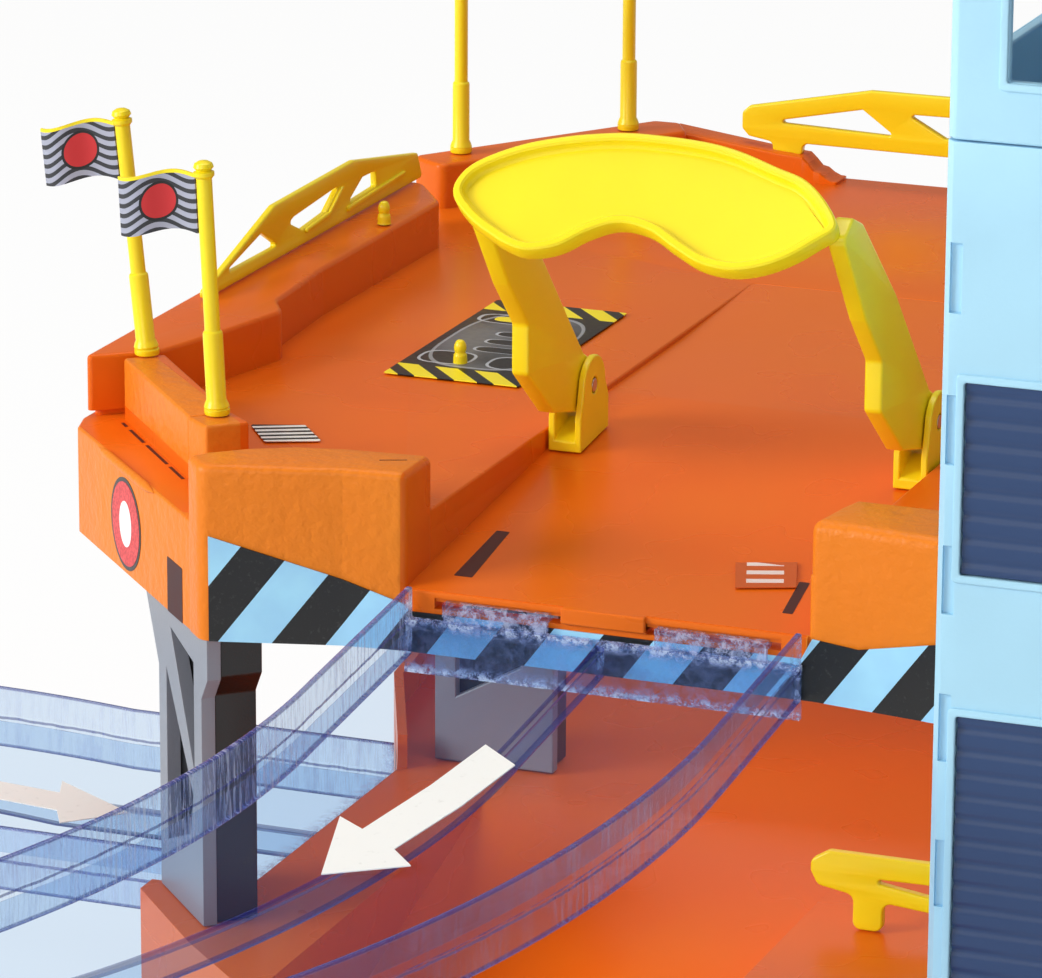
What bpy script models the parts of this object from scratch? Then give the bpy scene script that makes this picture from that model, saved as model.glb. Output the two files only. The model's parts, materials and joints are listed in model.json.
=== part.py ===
"""Two-deck toy garage with a crank lift, a curved exit ramp and a tilting exit gate.

Metres, +Z up, standing on z = 0.  The model is laid out from the middle of the exit lip:
X runs to the right, Y runs back from the front edge of the upper deck.  The whole model is
then carried by one empty that puts the origin under the middle of the overall box.
"""

import math

import bmesh
import bpy
from mathutils import Matrix, Vector

# Clearances
GAP = 0.0003           # between pieces that touch
RUN = 0.0003           # radial running clearance of the pins and the crank shaft
SLIDE = 0.0006         # each side of the lift cabin in its shaft

# Decks
WALL = 0.0022          # shell thickness of the mouldings
LOWER_FLOOR = 0.030    # height of the lower parking floor
DECK_FLOOR = 0.1208    # height of the upper parking floor
LIP = 0.108            # height of the exit lip
FASCIA = 0.0135        # depth of the upper deck's skirt below the lip
WALL_RISE = 0.0112     # height of the low walls above the upper floor
LEDGE_DROP = 0.0025    # step down of the ledge outside the flag wall
LOWER_RIM = 0.008      # height of the lower deck's rim
LANE_HALF = 0.043      # half width of the exit lane
LANE_GRADE = 0.10      # fall of the exit lane towards the lip
LANE_END = 0.215       # where the sunken lane ends
LANE_STEP = 0.0012     # how far the flat part of the lane lies below the floor
DECK_BACK = 0.325      # straight back edge of both decks
ARRIVAL_EDGE = -0.088  # left edge of the lower deck where the ramp arrives
APRON = 0.0025         # thickness of the flat exit apron at the ground
CREASE_LEFT = (-0.062, 0.091)     # left end of the line where the exit slope begins
CREASE_RIGHT = (0.027, 0.0656)    # right end of it
APRON_FRONT = -0.034   # front edge of the exit apron

# Lift tower
TOWER_X = 0.073        # left face
TOWER_Y = -0.014       # front face
TOWER_WIDTH = 0.064
TOWER_DEPTH = 0.122
TOWER_WALL = 0.0024
TOWER_SEAM = 0.214     # top of the tower's body
TOWER_HEAD = 0.042     # height of the head above the seam
ROOF_RISE = 0.005
DOOR_HEIGHT = 0.056
CABIN_SIDE = 0.022     # height of the cabin's side walls
RACK_WIDTH = 0.0052
DRIVE_ROOM = 0.0031     # between the rack and the right wall, for the crank's boss
MODULE = 0.00125       # gear module of the lift drive
PINION_TEETH = 16
BACKLASH = 0.0005
PINION_Y = 0.044       # centre of the pinion
PINION_Z = 0.132
SHAFT_R = 0.0025
KNOB_R = 0.013
KNOB_THICK = 0.006

# Exit gate
BRACKET_X = 0.0386     # centre of each bracket from the middle of the lane
BRACKET_WIDTH = 0.0075
BRACKET_FRONT = 0.079
BRACKET_DEPTH = 0.017
PIVOT_Y = 0.0874
PIVOT_Z = 0.1293
EAR = 0.0015           # thickness of a bracket's ears
EAR_R = 0.0066
PIN_R = 0.0015
TRAY_REACH = 0.0600    # how far in front of the pivot the tray's middle is
TRAY_LIFT = 0.0567     # how far above the pivot it is
TRAY_THICK = 0.0024
TRAY_RIM = 0.0022

# Exit ramp
RAMP_HALF = 0.0422     # half width over the kerbs
RAMP_DROP = 0.0052     # start of the bed below the lip
RAMP_END_RISE = 0.0003  # end of the bed above the lower floor
BED = 0.0016
KERB = 0.0014
KERB_UP = 0.0063       # kerb above the bed
SKIRT = 0.0080         # skirt below the bed
RAMP_LEAD = 0.052      # straight start
RAMP_R1 = 0.205        # radius of the first, wide bend
RAMP_A1 = 30.0         # its angle in degrees
RAMP_ARRIVAL = 0.062   # Y of the ramp's middle where it reaches the lower deck
RAMP_SPLIT = 0.400     # run along the path where the two ramp sections meet

# Posts and rails
POLE_R = 0.00165
POLE_TALL = 0.0538
FLAG_LENGTH = 0.0175
FLAG_HEIGHT = 0.0125
RAIL = 0.0024          # thickness of the railings
PANEL = 0.003          # thickness of a pillar's grey face
PILLAR_DEPTH = 0.0125
LABEL = 0.00025        # thickness of a label

DECK_BOTTOM = LIP - FASCIA
WALL_TOP = DECK_FLOOR + WALL_RISE
LEDGE = DECK_FLOOR - LEDGE_DROP
TOWER_RIGHT = TOWER_X + TOWER_WIDTH
TOWER_BACK = TOWER_Y + TOWER_DEPTH
CABIN_WIDTH = TOWER_WIDTH - 2.0 * TOWER_WALL - SLIDE - GAP - RACK_WIDTH - DRIVE_ROOM
STROKE = DECK_FLOOR - LOWER_FLOOR
PITCH_R = MODULE * PINION_TEETH / 2.0
RACK_TEETH = math.ceil(STROKE / (math.pi * MODULE)) + 6

COLOURS = {
    "orange": ((0.73, 0.18, 0.03), 0.36, 0.0),
    "yellow": ((0.86, 0.70, 0.03), 0.34, 0.0),
    "tower_blue": ((0.30, 0.58, 0.84), 0.38, 0.0),
    "dark_blue": ((0.04, 0.12, 0.30), 0.35, 0.0),
    "ramp_blue": ((0.34, 0.44, 0.80), 0.12, 0.0),
    "light_grey": ((0.50, 0.50, 0.53), 0.45, 0.0),
    "black": ((0.02, 0.02, 0.022), 0.42, 0.0),
    "label": ((0.28, 0.52, 0.76), 0.40, 0.0),
    "label_dark": ((0.05, 0.05, 0.05), 0.45, 0.0),
    "label_white": ((0.85, 0.85, 0.85), 0.40, 0.0),
    "flag_grey": ((0.42, 0.42, 0.44), 0.45, 0.0),
    "steel": ((0.60, 0.60, 0.62), 0.30, 1.0),
}


def mm(*points):
    """Plan or side-view points given in millimetres, as metres."""
    return [tuple(value * 0.001 for value in point) for point in points]


def clear_scene():
    for item in list(bpy.data.objects):
        bpy.data.objects.remove(item, do_unlink=True)
    for mesh in list(bpy.data.meshes):
        bpy.data.meshes.remove(mesh)


def material(name):
    found = bpy.data.materials.get(name)
    if found:
        return found
    colour, roughness, metallic = COLOURS[name]
    made = bpy.data.materials.new(name)
    made.use_nodes = True
    shader = made.node_tree.nodes["Principled BSDF"]
    shader.inputs["Base Color"].default_value = (*colour, 1.0)
    shader.inputs["Roughness"].default_value = roughness
    shader.inputs["Metallic"].default_value = metallic
    made.diffuse_color = (*colour, 1.0)
    return made


def mesh_from(bm):
    bmesh.ops.recalc_face_normals(bm, faces=bm.faces)
    mesh = bpy.data.meshes.new("solid")
    bm.to_mesh(mesh)
    bm.free()
    return mesh


def prism(outline, low, high, plane="XY"):
    """A flat outline pushed from one level to another; plane names the outline's two axes."""
    order = {"XY": (0, 1, 2), "XZ": (0, 2, 1), "YZ": (1, 2, 0)}[plane]
    bm = bmesh.new()
    verts = []
    for point in outline:
        place = [0.0, 0.0, 0.0]
        place[order[0]] = point[0]
        place[order[1]] = point[1]
        place[order[2]] = low
        verts.append(bm.verts.new(place))
    face = bm.faces.new(verts)
    grown = bmesh.ops.extrude_face_region(bm, geom=[face])
    moved = [item for item in grown["geom"] if isinstance(item, bmesh.types.BMVert)]
    push = [0.0, 0.0, 0.0]
    push[order[2]] = high - low
    bmesh.ops.translate(bm, verts=moved, vec=push)
    return mesh_from(bm)


def box(low, high):
    outline = [(low[0], low[1]), (high[0], low[1]), (high[0], high[1]), (low[0], high[1])]
    return prism(outline, low[2], high[2])


def loft(sections):
    """A solid through a row of cross sections with equal numbers of points."""
    bm = bmesh.new()
    rings = [[bm.verts.new(point) for point in section] for section in sections]
    count = len(rings[0])
    for first, second in zip(rings, rings[1:]):
        for k in range(count):
            n = (k + 1) % count
            bm.faces.new((first[k], first[n], second[n], second[k]))
    bm.faces.new(rings[0])
    bm.faces.new(rings[-1])
    return mesh_from(bm)


def hull(points):
    bm = bmesh.new()
    for point in points:
        bm.verts.new(point)
    bmesh.ops.convex_hull(bm, input=bm.verts)
    return mesh_from(bm)


def turned(profile, place, axis="Z", sides=12):
    """A body of revolution; profile holds (radius, height) from one end on the axis to the other."""
    bm = bmesh.new()
    rings = []
    for radius, height in profile:
        if radius < 1e-7:
            rings.append([bm.verts.new((0.0, 0.0, height))])
            continue
        ring = []
        for k in range(sides):
            angle = 2.0 * math.pi * k / sides
            ring.append(bm.verts.new((radius * math.cos(angle), radius * math.sin(angle), height)))
        rings.append(ring)
    for first, second in zip(rings, rings[1:]):
        for k in range(sides):
            n = (k + 1) % sides
            corners = []
            for ring, index in ((first, k), (first, n), (second, n), (second, k)):
                vert = ring[index % len(ring)]
                if vert not in corners:
                    corners.append(vert)
            bm.faces.new(corners)
    turn = {"Z": Matrix.Identity(4), "X": Matrix.Rotation(math.radians(90.0), 4, "Y")}[axis]
    bmesh.ops.transform(bm, matrix=Matrix.Translation(place) @ turn, verts=bm.verts)
    return mesh_from(bm)


def rod(radius, place, length, axis="Z", sides=16):
    profile = [(0.0, 0.0), (radius, 0.0), (radius, length), (0.0, length)]
    return turned(profile, place, axis, sides)


def combined(base, steps):
    """Add and cut solids in order; steps holds pairs of an operation's name and a solid."""
    holder = bpy.data.objects.new("holder", base)
    bpy.context.collection.objects.link(holder)
    helpers = []
    for operation, solid in steps:
        helper = bpy.data.objects.new("helper", solid)
        bpy.context.collection.objects.link(helper)
        helpers.append(helper)
        modifier = holder.modifiers.new("step", "BOOLEAN")
        modifier.operation = operation
        modifier.solver = "EXACT"
        modifier.object = helper
    bpy.context.view_layer.update()
    graph = bpy.context.evaluated_depsgraph_get()
    result = bpy.data.meshes.new_from_object(holder.evaluated_get(graph))
    for helper in [holder] + helpers:
        spent = helper.data
        bpy.data.objects.remove(helper, do_unlink=True)
        bpy.data.meshes.remove(spent)
    bm = bmesh.new()
    bm.from_mesh(result)
    bmesh.ops.dissolve_degenerate(bm, edges=bm.edges, dist=2e-6)
    bm.to_mesh(result)
    bm.free()
    return result


def cut(base, *tools):
    return combined(base, [("DIFFERENCE", tool) for tool in tools])


def join(base, *tools):
    return combined(base, [("UNION", tool) for tool in tools])


def put(name, mesh, colour, parent, smooth=0.0):
    """Name the finished solid, colour it and hang it on its parent without moving it."""
    mesh.name = name
    mesh.materials.clear()
    mesh.materials.append(material(colour))
    if smooth:
        mesh.shade_smooth()
        mesh.set_sharp_from_angle(angle=math.radians(smooth))
    item = bpy.data.objects.new(name, mesh)
    bpy.context.collection.objects.link(item)
    mesh.transform(Matrix.Translation(-parent.matrix_world.translation))
    item.parent = parent
    return item


def empty(name, place, parent=None):
    item = bpy.data.objects.new(name, None)
    item.empty_display_size = 0.01
    bpy.context.collection.objects.link(item)
    item.location = place
    if parent:
        item.parent = parent
        item.location = Vector(place) - parent.matrix_world.translation
    bpy.context.view_layer.update()
    return item


def inset(outline, distance):
    """Outline moved inwards by the same distance on every side; counter-clockwise in plan."""
    count = len(outline)
    result = []
    for k in range(count):
        before = Vector(outline[k - 1])
        here = Vector(outline[k])
        after = Vector(outline[(k + 1) % count])
        first = (here - before).normalized()
        second = (after - here).normalized()
        first_normal = Vector((-first.y, first.x))
        second_normal = Vector((-second.y, second.x))
        middle = (first_normal + second_normal) / (1.0 + first_normal.dot(second_normal))
        result.append(tuple(here + middle * distance))
    return result


def circle(x, y, radius, sides=16, start=0.0, sweep=360.0):
    steps = sides if sweep == 360.0 else sides + 1
    angles = [math.radians(start + sweep * k / sides) for k in range(steps)]
    return [(x + radius * math.cos(a), y + radius * math.sin(a)) for a in angles]


def lane_height(y):
    """Height of the exit lane: it climbs from the lip and eases into the flat sunken part."""
    return min(LIP + LANE_GRADE * y, DECK_FLOOR - LANE_STEP)


# The upper deck

def tower_notch():
    """Corner of the deck that leaves room for the lift tower, front to back."""
    return [(TOWER_X - GAP, TOWER_BACK + GAP), (TOWER_RIGHT, TOWER_BACK + GAP)]


def upper_outline():
    front = mm((-84, -9.5), (-56, -1.5), (-43, 0), (46, 0)) + [(TOWER_X - GAP, -0.004)]
    back = [(TOWER_RIGHT, 0.240), (0.075, DECK_BACK), (-0.060, DECK_BACK)]
    back += mm((-106.5, 322), (-148.5, 262), (-142, 247))
    left = mm((-142, 58), (-140, 51))
    return front + tower_notch() + back + left


def left_walls():
    """Plan outlines of the low walls of the upper deck, except the sloping one at the back."""
    flag_wall = mm((-95, 18.4), (-88, 24.8), (-126.2, 66.7), (-133.2, 60.3))
    platform = mm((-93.6, 4), (-82, 0), (-79, 24.5), (-88.4, 25.2), (-95.1, 18.3))
    left_block = mm((-84.4, -5.9), (-59.9, 0.3), (-43.2, 0.3), (-43.2, 16.8), (-67.2, 15.1),
                    (-79.8, 15), (-90, 8))
    side = mm((-141.7, 59), (-128.5, 69.5), (-123, 88.6), (-117.7, 111), (-124, 112),
              (-124.5, 183), (-124, 220), (-141.7, 246.5))
    diagonal = mm((-148, 262), (-138, 257), (-95.6, 313), (-100, 321.9), (-106.4, 321.6))
    return flag_wall, platform, left_block, side, diagonal


def right_walls():
    block = mm((43.6, 0.3), (60.1, 0.2)) + [(TOWER_X - 2 * GAP, -0.0036)]
    block += [(TOWER_X - 2 * GAP, 0.018)] + mm((46.3, 18.2), (44.7, 11.6))
    edge = TOWER_BACK + 0.006
    rim = [(0.1367, edge)] + mm((136.7, 239.8), (74.8, 324.7), (52, 324.7), (52, 318.5),
                                (71.7, 318.5), (130.5, 238)) + [(0.1305, edge)]
    return block, rim


def back_wall():
    """Low wall along the back whose top falls in steps towards the middle."""
    side = [(-0.1010, DECK_FLOOR - 0.001), (-0.056, DECK_FLOOR - 0.001)]
    for x, drop in mm((-56, 10.4), (-61.6, 7.3), (-72, 4.4), (-101, 0.7)):
        side.append((x, WALL_TOP - drop))
    return prism(side, DECK_BACK - 0.0085, DECK_BACK - 0.0001, "XZ")


def lane_tools():
    """The sunken lane and the hollow that follows it underneath."""
    knee = (DECK_FLOOR - LANE_STEP - LIP) / LANE_GRADE
    start = -0.004
    top = [(start, lane_height(start)), (knee, lane_height(knee)), (LANE_END, lane_height(knee)),
           (LANE_END, WALL_TOP + 0.01), (start, WALL_TOP + 0.01)]
    lane = prism(top, -LANE_HALF, LANE_HALF, "YZ")
    under = [(WALL, DECK_BOTTOM - 0.002), (WALL, lane_height(WALL) - WALL),
             (knee, lane_height(knee) - WALL), (LANE_END + WALL, lane_height(knee) - WALL),
             (LANE_END + WALL, DECK_BOTTOM - 0.002)]
    hollow = prism(under, -LANE_HALF - 0.001, LANE_HALF + 0.001, "YZ")
    return lane, hollow


def lip_slots():
    """Two slots under the lip that take the ramp's hooks, and the tab between them."""
    tools = []
    for low, high in mm((-36.5, -9.0), (9.0, 37.5)):
        tools.append(box((low, -0.003, LIP - 0.0036), (high, 0.0028, LIP - 0.0013)))
    return tools


def build_upper_deck(root):
    outline = upper_outline()
    base = prism(outline, DECK_BOTTOM, LEDGE)
    floor = list(outline)
    ledge = mm((-140, 59.2), (-131, 60.5), (-95, 20), (-89, 0))
    start = floor.index(mm((-142, 58))[0])
    floor = floor[:start + 1] + ledge + mm((-84, -9.2))
    floor = floor[1:]
    steps = [("UNION", prism(inset(floor, 0.0004), LEDGE - 0.001, DECK_FLOOR))]
    for wall in left_walls() + right_walls():
        steps.append(("UNION", prism(wall, LEDGE - 0.0015, WALL_TOP)))
    steps.append(("UNION", back_wall()))
    lane, lane_hollow = lane_tools()
    steps.append(("DIFFERENCE", lane))
    low = DECK_BOTTOM - 0.002
    rib = LANE_HALF + 0.001 + WALL
    front, back = WALL + 0.0006, DECK_BACK - WALL
    inner = inset(outline, WALL)
    left = [point for point in inner if point[0] < -rib]
    turn = next(k for k, point in enumerate(left) if point[1] > 0.3)
    left = left[:turn] + [(-rib, front), (-rib, back)] + left[turn:]
    right = [point for point in inner if point[0] > rib + 0.001]
    right = [(rib, back), (rib, front)] + right
    roof = DECK_FLOOR - WALL - LEDGE_DROP
    steps.append(("DIFFERENCE", prism(left, low, roof)))
    steps.append(("DIFFERENCE", prism(right, low, roof)))
    steps.append(("DIFFERENCE", lane_hollow))
    rear = box((WALL - rib, LANE_END + 2 * WALL, low), (rib - WALL, back, roof))
    steps.append(("DIFFERENCE", rear))
    for slot in lip_slots():
        steps.append(("DIFFERENCE", slot))
    tab = box((-0.009, -0.0012, LIP - 0.0033), (0.009, 0.001, LIP))
    steps.append(("UNION", tab))
    mouth = mm((-36, 9), (-32, 9), (-33.5, 34), (-36.4, 34))
    steps.append(("DIFFERENCE", prism(mouth, LIP - 0.01, DECK_FLOOR)))
    mouth = mm((34.2, 9.8), (36.4, 9.8), (34.6, 26), (32.4, 26))
    steps.append(("DIFFERENCE", prism(mouth, LIP - 0.01, DECK_FLOOR)))
    step = box((-0.160, 0.040, DECK_BOTTOM - 0.001), (-0.134, 0.075, LIP - 0.001))
    steps.append(("DIFFERENCE", step))
    put("upper_deck", combined(base, steps), "orange", root)


# The lower deck

def slope_distance(x, y):
    """How far a plan point lies in front of the crease where the exit slope begins."""
    run = Vector(CREASE_RIGHT) - Vector(CREASE_LEFT)
    normal = Vector((run.y, -run.x)).normalized()
    return (Vector((x, y)) - Vector(CREASE_LEFT)).dot(normal)


def slope_grade():
    return (LOWER_FLOOR - APRON) / slope_distance(CREASE_RIGHT[0], APRON_FRONT)


def slope_point(x, distance):
    """Plan point at the given X that lies that far in front of the crease."""
    per_y = slope_distance(x, 0.0) - slope_distance(x, 0.001)
    y = (slope_distance(x, 0.0) - distance) / per_y * 0.001
    return (x, y)


def lower_back():
    """Edge of the lower deck from the right side round the back to the ramp's arrival."""
    back = [(TOWER_RIGHT, 0.240), (0.075, DECK_BACK), (-0.060, DECK_BACK)]
    return back + mm((-100, 318), (-120, 250), (-106, 147))


def lower_outline():
    front = [(CREASE_LEFT[0] - WALL, APRON_FRONT), (TOWER_X - GAP, APRON_FRONT)]
    low = RAMP_ARRIVAL - RAMP_HALF - 0.0007
    high = RAMP_ARRIVAL + RAMP_HALF + 0.0007
    left = [(ARRIVAL_EDGE, high), (ARRIVAL_EDGE, low), (-0.109, low), (-0.109, 0.013),
            (-0.086, -0.013)]
    return front + tower_notch() + lower_back() + left


def slope_tools():
    """Solids that cut the exit slope, its flat apron and the hollow below it."""
    left, right = CREASE_LEFT[0], CREASE_RIGHT[0]
    reach = slope_distance(right, APRON_FRONT)
    above = LOWER_FLOOR + 0.03
    crease = [slope_point(x, 0.0) for x in (left, right)]
    foot = [slope_point(x, reach) for x in (left, right)]
    points = []
    for x, y in crease:
        points += [(x, y, LOWER_FLOOR), (x, y, above)]
    for x, y in foot:
        points += [(x, y, APRON), (x, y, above)]
    slope = hull(points)
    far = [slope_point(x, reach - 0.0004) for x in (left, right)]
    ends = [(left, APRON_FRONT - 0.05), (right, APRON_FRONT - 0.05)]
    apron = hull([(x, y, z) for x, y in far + ends for z in (APRON, above)])
    grade = slope_grade()
    under = []
    start = 0.004
    run = (LOWER_FLOOR - WALL * 1.4) / grade - start
    for x in (left + WALL, right - WALL):
        x0, y0 = slope_point(x, start)
        x1, y1 = slope_point(x, run)
        roof = LOWER_FLOOR - grade * start - WALL * 1.4
        under += [(x0, y0, roof), (x0, y0, -0.001), (x1, y1, LOWER_FLOOR - grade * run - WALL * 1.4),
                  (x1, y1, -0.001)]
    return slope, apron, hull(under)


def rim_path():
    start = [(TOWER_RIGHT, TOWER_BACK + 0.006)]
    return start + lower_back() + [(ARRIVAL_EDGE, RAMP_ARRIVAL + RAMP_HALF + 0.0012)]


def strip(path, thickness):
    """Plan outline of a wall that follows the inside of a path walked counter-clockwise."""
    inner = []
    for k, here in enumerate(path):
        point = Vector(here)
        before = Vector(path[k - 1]) if k else None
        after = Vector(path[k + 1]) if k + 1 < len(path) else None
        normals = []
        for first, second in ((before, point), (point, after)):
            if first is not None and second is not None:
                run = (second - first).normalized()
                normals.append(Vector((-run.y, run.x)))
        middle = sum(normals, Vector((0.0, 0.0)))
        middle /= 1.0 + normals[0].dot(normals[-1]) if len(normals) == 2 else 1.0
        inner.append(tuple(point + middle * thickness))
    return list(path) + inner[::-1]


def build_lower_deck(root):
    outline = lower_outline()
    base = prism(outline, 0.0, LOWER_FLOOR)
    rim = prism(strip(rim_path(), WALL), LOWER_FLOOR - 0.001, LOWER_FLOOR + LOWER_RIM)
    slope, apron, under = slope_tools()
    roof = LOWER_FLOOR - WALL
    inner = inset(outline, WALL)
    back_y = max(CREASE_LEFT[1], TOWER_BACK) + WALL
    rear = [(-0.094, back_y), (TOWER_RIGHT - WALL, back_y)] + [p for p in inner if p[1] > 0.14]
    side = box((CREASE_RIGHT[0] + WALL, APRON_FRONT + WALL, -0.001),
               (TOWER_X - GAP - WALL, TOWER_BACK - 0.004, roof))
    left = box((ARRIVAL_EDGE + WALL, -0.004, -0.001), (CREASE_LEFT[0] - WALL, 0.108, roof))
    steps = [("UNION", rim), ("DIFFERENCE", slope), ("DIFFERENCE", apron), ("DIFFERENCE", under),
             ("DIFFERENCE", prism(rear, -0.001, roof)), ("DIFFERENCE", side),
             ("DIFFERENCE", left)]
    put("lower_deck", combined(base, steps), "orange", root)


# The pillars

def pillar(name, corner, heading, root, top, width=0.0325, flare=0.004, deep=0.0315):
    """A grey lattice face with a black core behind it.

    corner is the face's right upper corner in plan and heading the direction of its width;
    the core is thick only as far as deep, and a thin black sheet closes the rest.
    """
    along = Vector((math.cos(math.radians(heading)), math.sin(math.radians(heading))))
    inward = Vector((along.y, -along.x))
    low = LOWER_FLOOR + GAP
    high = top - GAP
    tall = high - low

    def place(points, near, far):
        solid = prism(points, near, far)
        matrix = Matrix(((along.x, 0.0, inward.x, corner[0]), (along.y, 0.0, inward.y, corner[1]),
                         (0.0, 1.0, 0.0, low), (0.0, 0.0, 0.0, 1.0)))
        solid.transform(matrix)
        if matrix.determinant() < 0.0:
            solid.flip_normals()
        return solid

    face = [(flare, 0.0), (width, 0.0), (width, tall - 0.015), (width + 0.009, tall),
            (0.0, tall), (0.0, tall - 0.009), (flare, tall - 0.014)]
    bar = 0.0050
    left = width - bar
    right = flare + bar
    upper = [(left - 0.003, tall * 0.93), (right, tall * 0.88), (right, tall * 0.50)]
    lower = [(left, tall * 0.78), (left, tall * 0.18), (right + 0.003, tall * 0.28),
             (right + 0.001, tall * 0.42)]
    panel = cut(place(face, 0.0, PANEL), place(upper, -0.001, PANEL + 0.001),
                place(lower, -0.001, PANEL + 0.001))
    put(name + "_frame", panel, "light_grey", root)
    near = PANEL + GAP
    side = [(flare + 0.0015, 0.0), (deep, 0.0), (deep, tall), (0.0015, tall),
            (0.0015, tall - 0.009), (flare + 0.0015, tall - 0.014)]
    core = place(side, near, PILLAR_DEPTH)
    if deep < width - 0.002:
        sheet = [(deep - 0.001, 0.0), (width - 0.001, 0.0), (width - 0.001, tall),
                 (deep - 0.001, tall)]
        core = join(core, place(sheet, near, near + 0.0012))
    put(name + "_core", core, "black", root)


def build_pillars(root):
    pillar("pillar_front", (-0.0840, -0.0070), 132.3, root, DECK_BOTTOM, deep=0.0240)
    hollow_roof = DECK_FLOOR - WALL - LEDGE_DROP
    pillar("pillar_middle", (-0.0500, 0.1140), 180.0, root, hollow_roof)
    pillar("pillar_back_left", (-0.0780, 0.2350), 180.0, root, hollow_roof, 0.026, deep=0.025)
    pillar("pillar_back_right", (0.0900, 0.2700), 180.0, root, hollow_roof)


# The lift tower

def tower_slots():
    """Small openings down the front left corner and along the left face, one every pitch."""
    tools = []
    pitch = 0.030
    front = TOWER_Y
    height = 0.0605
    while height < TOWER_SEAM - 0.03:
        tools.append(box((TOWER_X + 0.0014, front - 0.001, height),
                         (TOWER_X + 0.0038, front + 0.0011, height + 0.0138)))
        height += pitch
    return tools


def build_tower(root):
    x0, x1, y0, y1 = TOWER_X, TOWER_RIGHT, TOWER_Y, TOWER_BACK
    corner = 0.0016
    plan = [(x0 + corner, y0), (x1 - corner, y0), (x1, y0 + corner), (x1, y1), (x0, y1),
            (x0, y0 + corner)]
    body = prism(plan, 0.0, TOWER_SEAM)
    shaft = box((x0 + TOWER_WALL, y0 + TOWER_WALL, TOWER_WALL),
                (x1 - TOWER_WALL, y1 - TOWER_WALL, TOWER_SEAM + 0.01))
    steps = [("DIFFERENCE", shaft)]
    door_x = cabin_span()
    for level in (LOWER_FLOOR, DECK_FLOOR):
        steps.append(("DIFFERENCE", box((door_x[0], y1 - 0.01, level),
                                        (door_x[1], y1 + 0.01, level + DOOR_HEIGHT))))
    boss = rod(SHAFT_R + 0.0035, (x1 - TOWER_WALL - 0.0024, PINION_Y, PINION_Z),
               TOWER_WALL + 0.0014, "X", 20)
    steps.append(("UNION", boss))
    bore = rod(SHAFT_R + RUN, (x1 - 0.02, PINION_Y, PINION_Z), 0.04, "X", 20)
    steps.append(("DIFFERENCE", bore))
    for low, high in tower_panels():
        pocket = box((low[0] - GAP, y0 - 0.001, low[1] - GAP),
                     (high[0] + GAP, y0 + 0.0015, high[1] + GAP))
        steps.append(("DIFFERENCE", pocket))
    for slot in tower_slots():
        steps.append(("DIFFERENCE", slot))
    put("lift_tower_body", combined(body, steps), "tower_blue", root)
    names = ("tower_panel_low", "tower_panel_high")
    for name, (low, high) in zip(names, tower_panels()):
        pane = box((low[0], y0 + 0.0003, low[1]), (high[0], y0 + 0.0015 - GAP, high[1]))
        put(name, pane, "dark_blue", root)

    base = TOWER_SEAM + GAP
    top = TOWER_SEAM + TOWER_HEAD
    head = prism(plan, base, top)
    room = box((x0 + TOWER_WALL, y0 + TOWER_WALL, base - 0.01),
               (x1 - TOWER_WALL, y1 - TOWER_WALL, top - TOWER_WALL))
    windows = [box((x0 - 0.01, y0 + 0.02, base + 0.012), (x1 + 0.01, y1 - 0.02, top - 0.01)),
               box((x0 + 0.012, y0 - 0.01, base + 0.012), (x1 - 0.012, y1 + 0.01, top - 0.01))]
    put("lift_tower_head", cut(head, room, *windows), "tower_blue", root)
    under = top + GAP
    lower = [(x0, y0), (x1, y0), (x1, y1), (x0, y1)]
    upper = inset(lower, 0.006)
    sections = [[(x, y, under) for x, y in lower],
                [(x, y, under + ROOF_RISE * 0.4) for x, y in lower],
                [(x, y, under + ROOF_RISE) for x, y in upper]]
    put("lift_tower_roof", loft(sections), "dark_blue", root)


def tower_panels():
    """Front view corners of the two dark panels set into the tower's face."""
    low = ((TOWER_X + 0.0052, 0.008), (TOWER_RIGHT - 0.0052, LIP - 0.008))
    high = ((TOWER_X + 0.0052, LIP + 0.021), (TOWER_RIGHT - 0.0052, LIP + 0.059))
    return low, high


def cabin_span():
    left = TOWER_X + TOWER_WALL + SLIDE
    return left, left + CABIN_WIDTH


def rack_x():
    low = cabin_span()[1] + GAP
    return low, low + RACK_WIDTH


def gear_tooth(pitch_r, module, teeth, backlash):
    """Half of one gear tooth as (radius, angle) pairs from root to tip, on an involute."""
    pressure = math.radians(20.0)
    base = pitch_r * math.cos(pressure)
    half = math.pi / (2.0 * teeth) - backlash / (2.0 * pitch_r)
    involute = math.tan(pressure) - pressure
    points = []
    root = pitch_r - 1.3 * module
    tip = pitch_r + 0.9 * module
    for radius in (root, max(base, root + 1e-5), pitch_r, (pitch_r + tip) / 2.0, tip):
        if radius <= base:
            angle = half + involute
        else:
            slope = math.acos(base / radius)
            angle = half + involute - (math.tan(slope) - slope)
        points.append((radius, angle))
    return points


def pinion_outline():
    half = gear_tooth(PITCH_R, MODULE, PINION_TEETH, BACKLASH)
    points = []
    for tooth in range(PINION_TEETH):
        middle = 2.0 * math.pi * tooth / PINION_TEETH
        side = [(radius, middle - angle) for radius, angle in half]
        side += [(radius, middle + angle) for radius, angle in reversed(half)]
        points += [(PINION_Y + r * math.cos(a), PINION_Z + r * math.sin(a)) for r, a in side]
    return points


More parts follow.
